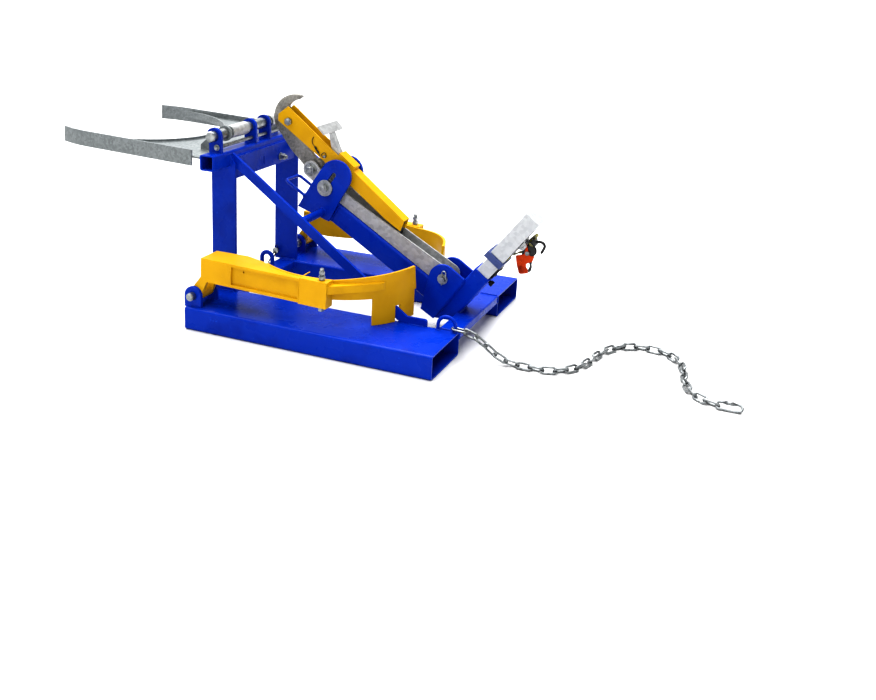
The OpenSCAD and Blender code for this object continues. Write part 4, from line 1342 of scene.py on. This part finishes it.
@dataclass
class Ratchet:
    """The strap ratchet behind the post: base, side plates, lever, webbing, keeper and hook.

    Its outlines are in metres up the post and behind the post's middle line.
    """

    finishes: Finishes
    back: float = 0.0227
    lift: float = 0.2 * MM
    pin: Flat = (0.200, 0.0547)
    plate_at: Flat = (0.0170, 0.0195)
    cheek_at: Flat = (0.0135, 0.0160)
    tab_at: Flat = (0.0200, 0.0225)
    strap_half: float = 0.012
    strap_thick: float = 2.2 * MM
    sole: Flat = (0.160, 0.226)
    sole_thick: float = 3 * MM
    tab_foot: Flat = (0.190, 0.222)
    tab_top: Flat = (0.197, 0.217)
    tab_reach: float = 0.0400
    rivets: tuple[Flat, ...] = ((0.202, 0.0335), (0.212, 0.0335))
    guard: tuple[Flat, ...] = (
        (0.2213, 0.0322), (0.2090, 0.0492), (0.1982, 0.0651), (0.2085, 0.0765),
        (0.1905, 0.0830), (0.1835, 0.0785), (0.1714, 0.0737), (0.1642, 0.0813),
        (0.1628, 0.0893), (0.1550, 0.0972), (0.1352, 0.0802), (0.1397, 0.0699),
        (0.1507, 0.0538), (0.1700, 0.0335), (0.1903, 0.0494), (0.1994, 0.0451),
    )
    guard_rim: tuple[Flat, ...] = (
        (0.1550, 0.0960), (0.1362, 0.0800), (0.1404, 0.0702), (0.1512, 0.0546), (0.1692, 0.0352)
    )
    guard_toe: tuple[Flat, ...] = ((0.1470, 0.0900), (0.1362, 0.0800), (0.1390, 0.0725))
    guard_ribs: tuple[tuple[Flat, Flat], ...] = (
        ((0.1485, 0.0668), (0.1850, 0.0560)), ((0.1440, 0.0770), (0.1560, 0.0690))
    )
    far_plate: tuple[Flat, ...] = (
        (0.2190, 0.0330), (0.2120, 0.0560), (0.2000, 0.0660),
        (0.1790, 0.0600), (0.1720, 0.0360), (0.1903, 0.0480),
    )
    arm: tuple[Flat, ...] = (
        (0.2220, 0.0430), (0.2262, 0.0560), (0.2200, 0.0680), (0.2068, 0.0742),
        (0.1940, 0.0810), (0.1823, 0.0860), (0.1762, 0.0931), (0.1678, 0.0968),
        (0.1550, 0.0980), (0.1612, 0.0895), (0.1694, 0.0879), (0.1755, 0.0850),
        (0.1794, 0.0789), (0.1840, 0.0680), (0.1800, 0.0560), (0.1840, 0.0440),
        (0.2000, 0.0350),
    )
    grip_at: Flat = (0.1625, 0.0940)
    cheek_radius: float = 0.0195
    teeth: int = 12
    tooth_tip: float = 15.0 * MM
    tooth_root: float = 12.4 * MM
    coil_start: float = 205.0
    coil_turns: float = 1.6
    coil_reach: Flat = (8.4 * MM, 11.8 * MM)
    strap_from: tuple[Flat, ...] = ((0.166, 0.0300), (0.178, 0.0345), (0.1895, 0.0445))
    strap_to: tuple[Flat, ...] = (
        (0.2240, 0.0385), (0.2400, 0.0350), (0.2520, 0.0325), (0.2568, 0.0355),
        (0.2545, 0.0405), (0.2480, 0.0415), (0.2400, 0.0405),
    )
    keeper: tuple[Flat, ...] = (
        (0.2285, 0.0300), (0.2455, 0.0300), (0.2470, 0.0365),
        (0.2430, 0.0475), (0.2345, 0.0560), (0.2290, 0.0585),
    )
    keeper_slot: tuple[Flat, ...] = (
        (0.2320, 0.0335), (0.2430, 0.0335), (0.2430, 0.0385), (0.2320, 0.0385)
    )
    keeper_half: float = 0.0150
    hook_route: tuple[Flat, ...] = (
        (0.2270, 0.0470), (0.2334, 0.0492), (0.2410, 0.0526), (0.2475, 0.0582),
        (0.2509, 0.0664), (0.2485, 0.0759), (0.2395, 0.0804), (0.2228, 0.0839),
    )
    hook_radius: float = 4.1 * MM
    strip_ends: Flat = (0.0575, 0.1062)
    strip_top: Flat = (0.0600, 0.1040)
    strip_half: float = 0.0175
    strip_screws: Flat = (0.068, 0.096)

    @property
    def across(self) -> Vector:
        """Returns the direction of the pin."""
        return on_post(0, 0, 1) - on_post(0, 0, 0)

    def piece(
        self, name: str, parts: Sequence[Mesh], slot: Slot, body: str = "post"
    ) -> bpy.types.Object:
        """Joins parts into one dressed piece.

        Args:
            name: Name of the piece.
            parts: Points and faces of each part.
            slot: The slot of its finish.
            body: The body that it moves with.

        Returns:
            The piece.
        """
        return mesh_piece(name, joined(parts), self.finishes.of(slot), body, slot)

    def base(self) -> None:
        """Base plate on the post with two low tabs and their rivets."""
        back = self.back + self.lift
        low, high = self.sole
        top = back + self.sole_thick
        sole = [(low, back), (high, back), (high, top), (low, top)]
        outer = [(up, self.tab_reach) for up in reversed(self.tab_top)]
        tab = filleted([(up, back) for up in self.tab_foot] + outer, 5 * MM)
        near, far = self.tab_at
        parts = [
            plate([sole], -far, far, on_post),
            plate([tab], -far, -near, on_post),
            plate([tab], near, far, on_post),
        ]
        dome = [(4.0 * MM, 0.0), (3.8 * MM, 1.2 * MM), (2.6 * MM, 2.1 * MM), (0.6 * MM, 2.5 * MM)]
        for side in SIDES:
            for rivet in self.rivets:
                parts.append(turned(dome, on_post(*rivet, side * far), self.across * side, 16))
        bracket = self.piece("ratchet_base", parts, Slot.GALVANISED)
        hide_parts("ratchet_bracket")

    def side_plates(self) -> None:
        """Orange plates: the near one carries the finger guard with its folded rim and ribs."""
        low, high = self.plate_at
        bore = disc(self.pin, 5.2 * MM)
        wall = 2.0 * MM
        parts = [
            plate([filleted(self.guard, 2.4 * MM, 3), bore], -high, -low, on_post),
            plate([filleted(self.far_plate, 3 * MM, 4), bore], low, high, on_post),
            self.fold(flat_curve(self.guard_rim, 8), wall, -high, -low + 0.5 * MM),
            self.fold(flat_curve(self.guard_toe, 8), wall, -high, -0.0070),
        ]
        for rib in self.guard_ribs:
            path = resample([on_post(a, b, -high - self.lift) for a, b in rib], 3 * MM)
            parts.append(swept(path, lambda i: 1.4 * MM, 8))
        guard = self.piece("ratchet_guard", parts, Slot.ORANGE)
        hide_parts("ratchet_frame")

    def fold(self, path: Sequence[Flat], thick: float, low: float, high: float) -> Mesh:
        """A folded rim: a thin wall along a path, square to the plate.

        Args:
            path: The wall's middle line.
            thick: Its thickness.
            low: Its first edge across.
            high: Its other edge.

        Returns:
            Points and faces.
        """
        half, middle = (high - low) / 2, (high + low) / 2
        return ribbon(path, half, thick, lambda a, b, y: on_post(a, b, y + middle))

    def lever(self) -> None:
        """Black lever on the pin: two cheeks, the drive wheel, the finger arm and its grip."""
        low, high = self.cheek_at
        bore = disc(self.pin, 4.2 * MM)
        wheel = []
        for k, (c, s) in enumerate(circle(2 * self.teeth)):
            reach = self.tooth_tip if k % 2 else self.tooth_root
            wheel.append((self.pin[0] + reach * c, self.pin[1] + reach * s))
        grip = [(3.4 * MM, 0.0), (4.2 * MM, 0.6 * MM), (4.2 * MM, 0.0104), (3.4 * MM, 0.0110)]
        parts = [
            plate([filleted(self.arm, 3 * MM, 4), bore], -high, -low, on_post),
            plate([disc(self.pin, self.cheek_radius, 40), bore], low, high, on_post),
            plate([wheel, bore], -low + 0.2 * MM, -low + 2.4 * MM, on_post, 0.3 * MM),
            turned(grip, on_post(*self.grip_at, -high + 0.3 * MM), self.across, 20),
        ]
        handle = self.piece("ratchet_lever_arm", parts, Slot.PLASTIC, "ratchet_lever")
        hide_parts("ratchet_handle")
        pin = [
            (3.0 * MM, 0.0), (6.6 * MM, 0.3 * MM), (6.6 * MM, 2.6 * MM),
            (4.0 * MM, 3.0 * MM), (4.0 * MM, 0.0425), (2.8 * MM, 0.0435),
        ]
        foot = on_post(*self.pin, -self.plate_at[1] - 3.0 * MM)
        self.piece("ratchet_pin", [turned(pin, foot, self.across, 24)], Slot.ZINC)

    def strap(self) -> None:
        """Olive webbing: up from the collar, wound on the spool and looped at the keeper."""
        half, thick = self.strap_half, self.strap_thick
        lie = self.back + thick / 2 + self.lift
        up = [(0.132, lie), (0.150, lie + 0.1 * MM), (0.158, lie + 0.6 * MM), *self.strap_from]
        coil = []
        inner, outer = self.coil_reach
        for k in range(49):
            turn = math.radians(self.coil_start + 360 * self.coil_turns * k / 48)
            reach = inner + (outer - inner) * k / 48
            x, y = reach * math.cos(turn), reach * math.sin(turn)
            coil.append((self.pin[0] + x, self.pin[1] + y))
        away = (coil[-1][0] + 6 * MM, coil[-1][1] - 6 * MM)
        parts = [
            ribbon(flat_curve(up), half, thick, on_post),
            ribbon(coil, half, thick * 0.9, on_post),
            ribbon(flat_curve([away, *self.strap_to]), half, thick, on_post),
        ]
        webbing = self.finishes[Finish.WEBBING]
        mesh_piece("ratchet_webbing", joined(parts), webbing, "post", Slot.ORANGE)

    def hook(self) -> None:
        """Black keeper on the webbing and the coated hook that hangs from it."""
        path = [on_post(a, b, 0.0) for a, b in flat_curve(self.hook_route, 8)]
        last = len(path) - 1
        half = self.keeper_half
        outline = [filleted(self.keeper, 3 * MM, 4), filleted(self.keeper_slot, 1.2 * MM, 3)]
        parts = [
            plate(outline, -half, half, on_post, 1.2 * MM),
            swept(path, lambda i: self.hook_radius if 1 < i < last - 1 else 3.2 * MM, 16),
        ]
        black = self.finishes[Finish.BLACK_STEEL]
        piece = mesh_piece(
            "strap_keeper_hook", joined(parts), black, "post", Slot.BLACK_STEEL, smooth=50.0
        )
        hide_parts("strap_hook")

    def guide(self) -> None:
        """Black wear strip on the back of the post between the socket's mouth and the collar."""
        low, high = self.back + self.lift, self.back + 7.5 * MM
        start, end = self.strip_ends
        strip = [
            (start, low), (end, low), (end, high - 2 * MM),
            (self.strip_top[1], high), (self.strip_top[0], high), (start, high - 2 * MM),
        ]
        parts = [plate([strip], -self.strip_half, self.strip_half, on_post, 0.8 * MM)]
        out = on_post(0, 1, 0) - on_post(0, 0, 0)
        head = [
            (5.4 * MM, -1.0 * MM), (5.4 * MM, 1.6 * MM), (4.6 * MM, 2.4 * MM), (0.8 * MM, 2.8 * MM)
        ]
        for up in self.strip_screws:
            parts.append(turned(head, on_post(up, high, 0.0), out, 20))
        self.piece("post_wear_strip", parts, Slot.BLACK_STEEL)

    def build(self) -> None:
        """Makes every piece of the ratchet and the strip under it."""
        self.base()
        self.side_plates()
        self.lever()
        self.strap()
        self.hook()
        self.guide()


@dataclass
class Lanyards:
    """Small tethers: the detent pin's wire with its ferrule and ring, and the foot pins' links."""

    finishes: Finishes
    strut_face: float = -0.0220
    cable_radius: float = 1.2 * MM
    ring_radius: float = 1.3 * MM
    link_radius: float = 2.3 * MM
    # Up the tower, above it, and off the strut's face.
    cable_route: tuple[Point, ...] = (
        (0.6100, 0.0905, 6 * MM), (0.6098, 0.0900, -1.5 * MM), (0.6075, 0.0800, -3.5 * MM),
        (0.6010, 0.0720, -3.5 * MM), (0.5930, 0.0690, -3.2 * MM), (0.5860, 0.0680, -3.0 * MM),
    )
    ferrule_from: Flat = (0.5890, 0.0690)
    ferrule_to: Flat = (0.5560, 0.0540)
    eye_at: Flat = (0.5475, 0.0650)
    eye_radius: float = 8.0 * MM
    foot_ring_at: Flat = (-0.0105, 0.1165)
    foot_ring_y: float = 0.1860
    foot_ring_radius: float = 5.5 * MM
    link_top: Point = (-0.0140, 0.1800, 0.0920)
    link_foot: Point = (-0.0330, 0.1790, 0.0560)
    link_half: float = 4.2 * MM

    def detent(self) -> None:
        """Wire from the strut's top edge to a pointed ferrule, and the ring at the pin's tip."""
        y = self.strut_face
        corners = [on_tower(along, above, y + off) for along, above, off in self.cable_route]
        cable = swept(smooth_path(corners), lambda i: self.cable_radius, 8)
        way = on_tower(*self.ferrule_to, y - 3 * MM) - on_tower(*self.ferrule_from, y - 3 * MM)
        length = way.length
        shape = [
            (1.6 * MM, 0.0), (3.2 * MM, 0.8 * MM), (3.2 * MM, 0.30 * length),
            (2.2 * MM, 0.33 * length), (3.0 * MM, 0.38 * length), (3.0 * MM, 0.62 * length),
            (1.9 * MM, 0.68 * length), (0.5 * MM, length),
        ]
        ferrule = turned(shape, on_tower(*self.ferrule_from, y - 3.6 * MM), way, 20)
        ring = []
        for k, (along, above) in enumerate(disc(self.eye_at, self.eye_radius, 32)):
            bend = 1.4 * MM * math.sin(4 * math.pi * k / 32)
            ring.append(on_tower(along, above, y - 3.4 * MM + bend))
        eye = swept(ring, lambda i: self.ring_radius, 8, True)
        tether = self.finishes[Finish.TETHER]
        mesh_piece("detent_lanyard", joined([cable, ferrule, eye]), tether, "strut", Slot.ZINC)

    def feet(self) -> None:
        """Small rings and hanging links on the heads of the two foot pins."""
        black = self.finishes[Finish.BLACK_STEEL]
        for side, sign in (("left", -1), ("right", 1)):
            spots = disc(self.foot_ring_at, self.foot_ring_radius)
            circle_at = [Vector((x, sign * self.foot_ring_y, z)) for x, z in spots]
            ring = swept(circle_at, lambda i: self.ring_radius, 8, True)
            top, foot = (Vector((x, sign * y, z)) for x, y, z in (self.link_top, self.link_foot))
            mesh = joined([ring, self.link(top, foot)])
            mesh_piece(f"foot_pin_tether_{side}", mesh, black, "frame", Slot.BLACK_STEEL)

    def link(self, top: Vector, foot: Vector) -> Mesh:
        """A long link of round wire between two points.

        Args:
            top: Middle of its upper bend.
            foot: Middle of its lower bend.

        Returns:
            Points and faces.
        """
        way = (foot - top).normalized()
        wide = Vector((way.z, 0.0, -way.x)) * self.link_half
        reach = wide.length
        path = []
        for middle, sign in ((foot, 1), (top, -1)):
            for k in range(13):
                c, s = math.cos(math.pi * k / 12), math.sin(math.pi * k / 12)
                path.append(middle + wide * (sign * c) + way * (sign * reach * s))
        return swept(path, lambda i: self.link_radius, 10, True)

    def build(self) -> None:
        """Makes the tethers."""
        self.detent()
        self.feet()


@dataclass
class Studio:
    """A plain pale floor, soft light from above and the camera where the photograph was taken."""

    camera_at: Point = (1.7502, -2.9269, 1.18118)
    lens: float = 42.21
    shift: Flat = (0.1005, -0.1142)
    azimuth: float = 25.2
    pitch: float = 16.7
    roll: float = 1.59
    see_to: float = 60.0
    wall_top: float = 0.2
    ceiling: float = 0.5
    ceiling_light: float = 0.15
    sky_power: float = 5.4
    sky_spread: float = 85.0
    sky_from: Point = (-0.25, 0.12, 1.0)
    # Name, place and power in watts of each softbox.
    softboxes: tuple[tuple[str, Point, float], ...] = (
        ("overhead", (0.2, 0.9, 2.6), 26.0),
        ("front_fill", (1.2, -3.4, 2.2), 16.0),
    )
    softbox_side: float = 1.6
    softbox_aim: Point = (0.3, 0.0, 0.25)
    floor_grey: float = 0.62
    floor_half: float = 30.0
    floor_z: float = -0.0004
    view: str = "Standard"
    look: str = "High Contrast"

    def floor(self) -> None:
        """Lays the floor."""
        material, add, shader, where = start_material("pale_floor")
        grain = add("TexNoise", {"Scale": 3.0, "Detail": 3.0}, {"Vector": where})
        low, high = self.floor_grey - 0.01, self.floor_grey + 0.01
        greys = [(0.2, (low, low, low, 1)), (0.8, (high, high, high, 1))]
        tone = add("ValToRGB", {"stops": greys}, {"Fac": grain.outputs["Fac"]})
        wire(shader, {"Roughness": 0.7}, {"Base Color": tone.outputs["Color"]})
        data = bpy.data.meshes.new("floor")
        far, z = self.floor_half, self.floor_z
        corners = [(-far, -far, z), (far, -far, z), (far, far, z), (-far, far, z)]
        data.from_pydata(corners, [], [(0, 1, 2, 3)])
        data.materials.append(material)
        floor = bpy.data.objects.new("floor", data)
        bpy.context.scene.collection.objects.link(floor)

    def softbox(self, name: str, at: Point, power: float) -> None:
        """Adds a square softbox.

        Args:
            name: Name of the lamp.
            at: Its place.
            power: Its power in watts.
        """
        light = bpy.data.lights.new(name, "AREA")
        light.shape = "SQUARE"
        light.size = self.softbox_side
        light.energy = power
        lamp = bpy.data.objects.new(name, light)
        lamp.location = at
        aim = Vector(self.softbox_aim) - Vector(at)
        lamp.rotation_euler = aim.to_track_quat("-Z", "Y").to_euler()
        bpy.context.scene.collection.objects.link(lamp)

    def light(self) -> None:
        """Sets the pale surround, the soft daylight from above and the softboxes."""
        world = bpy.data.worlds.new("pale_surround")
        world.use_nodes = True
        tree = world.node_tree
        where = add_node(tree, "TexCoord")
        split = add_node(tree, "SeparateXYZ", links={"Vector": where.outputs["Generated"]})
        walls = {
            "From Min": self.wall_top,
            "From Max": self.ceiling,
            "To Min": 1.0,
            "To Max": self.ceiling_light,
        }
        height = add_node(tree, "MapRange", walls, {"Value": split.outputs["Z"]})
        wire(tree.nodes["Background"], {"Strength": 1.0}, {"Color": height.outputs["Result"]})
        bpy.context.scene.world = world
        sun = bpy.data.lights.new("skylight", "SUN")
        sun.energy = self.sky_power
        sun.angle = math.radians(self.sky_spread)
        lamp = bpy.data.objects.new("skylight", sun)
        lamp.rotation_euler = Vector(self.sky_from).to_track_quat("Z", "Y").to_euler()
        bpy.context.scene.collection.objects.link(lamp)
        for name, at, power in self.softboxes:
            self.softbox(name, at, power)

    def camera(self) -> None:
        """Stands the camera at the photograph's place."""
        az, pt, rl = (math.radians(v) for v in (self.azimuth, self.pitch, self.roll))
        ahead = Vector((-math.sin(az) * math.cos(pt), math.cos(az) * math.cos(pt), -math.sin(pt)))
        right = Vector((math.cos(az), math.sin(az), 0.0))
        up = right.cross(ahead)
        side = right * math.cos(rl) + up * math.sin(rl)
        top = up * math.cos(rl) - right * math.sin(rl)
        turn = Matrix((side, top, -ahead)).transposed()
        data = bpy.data.cameras.new("photo_camera")
        data.lens = self.lens
        data.shift_x, data.shift_y = self.shift
        data.clip_end = self.see_to
        camera = bpy.data.objects.new("photo_camera", data)
        camera.matrix_world = Matrix.Translation(self.camera_at) @ turn.to_4x4()
        bpy.context.scene.collection.objects.link(camera)
        bpy.context.scene.camera = camera

    def build(self) -> None:
        """Builds floor, light and camera."""
        self.floor()
        self.light()
        self.camera()
        bpy.context.scene.view_settings.view_transform = self.view
        bpy.context.scene.view_settings.look = self.look


def main() -> None:
    """Builds the studio, dresses the nodes and adds each sub-assembly's pieces."""
    logging.basicConfig(level=logging.INFO, format="%(message)s")
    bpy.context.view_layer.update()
    finishes = Finishes()
    Studio().build()
    CarriedNodes(finishes).dress()
    FrameWelds(finishes[Finish.BLUE]).build()
    RimForkWelds(finishes[Finish.WEATHERED]).build()
    for side in ("left", "right"):
        SideArm(finishes, side).build()
    BoltThreads(finishes[Finish.ZINC]).build()
    Ratchet(finishes).build()
    Lanyards(finishes).build()


if __name__ == "__main__":
    main()
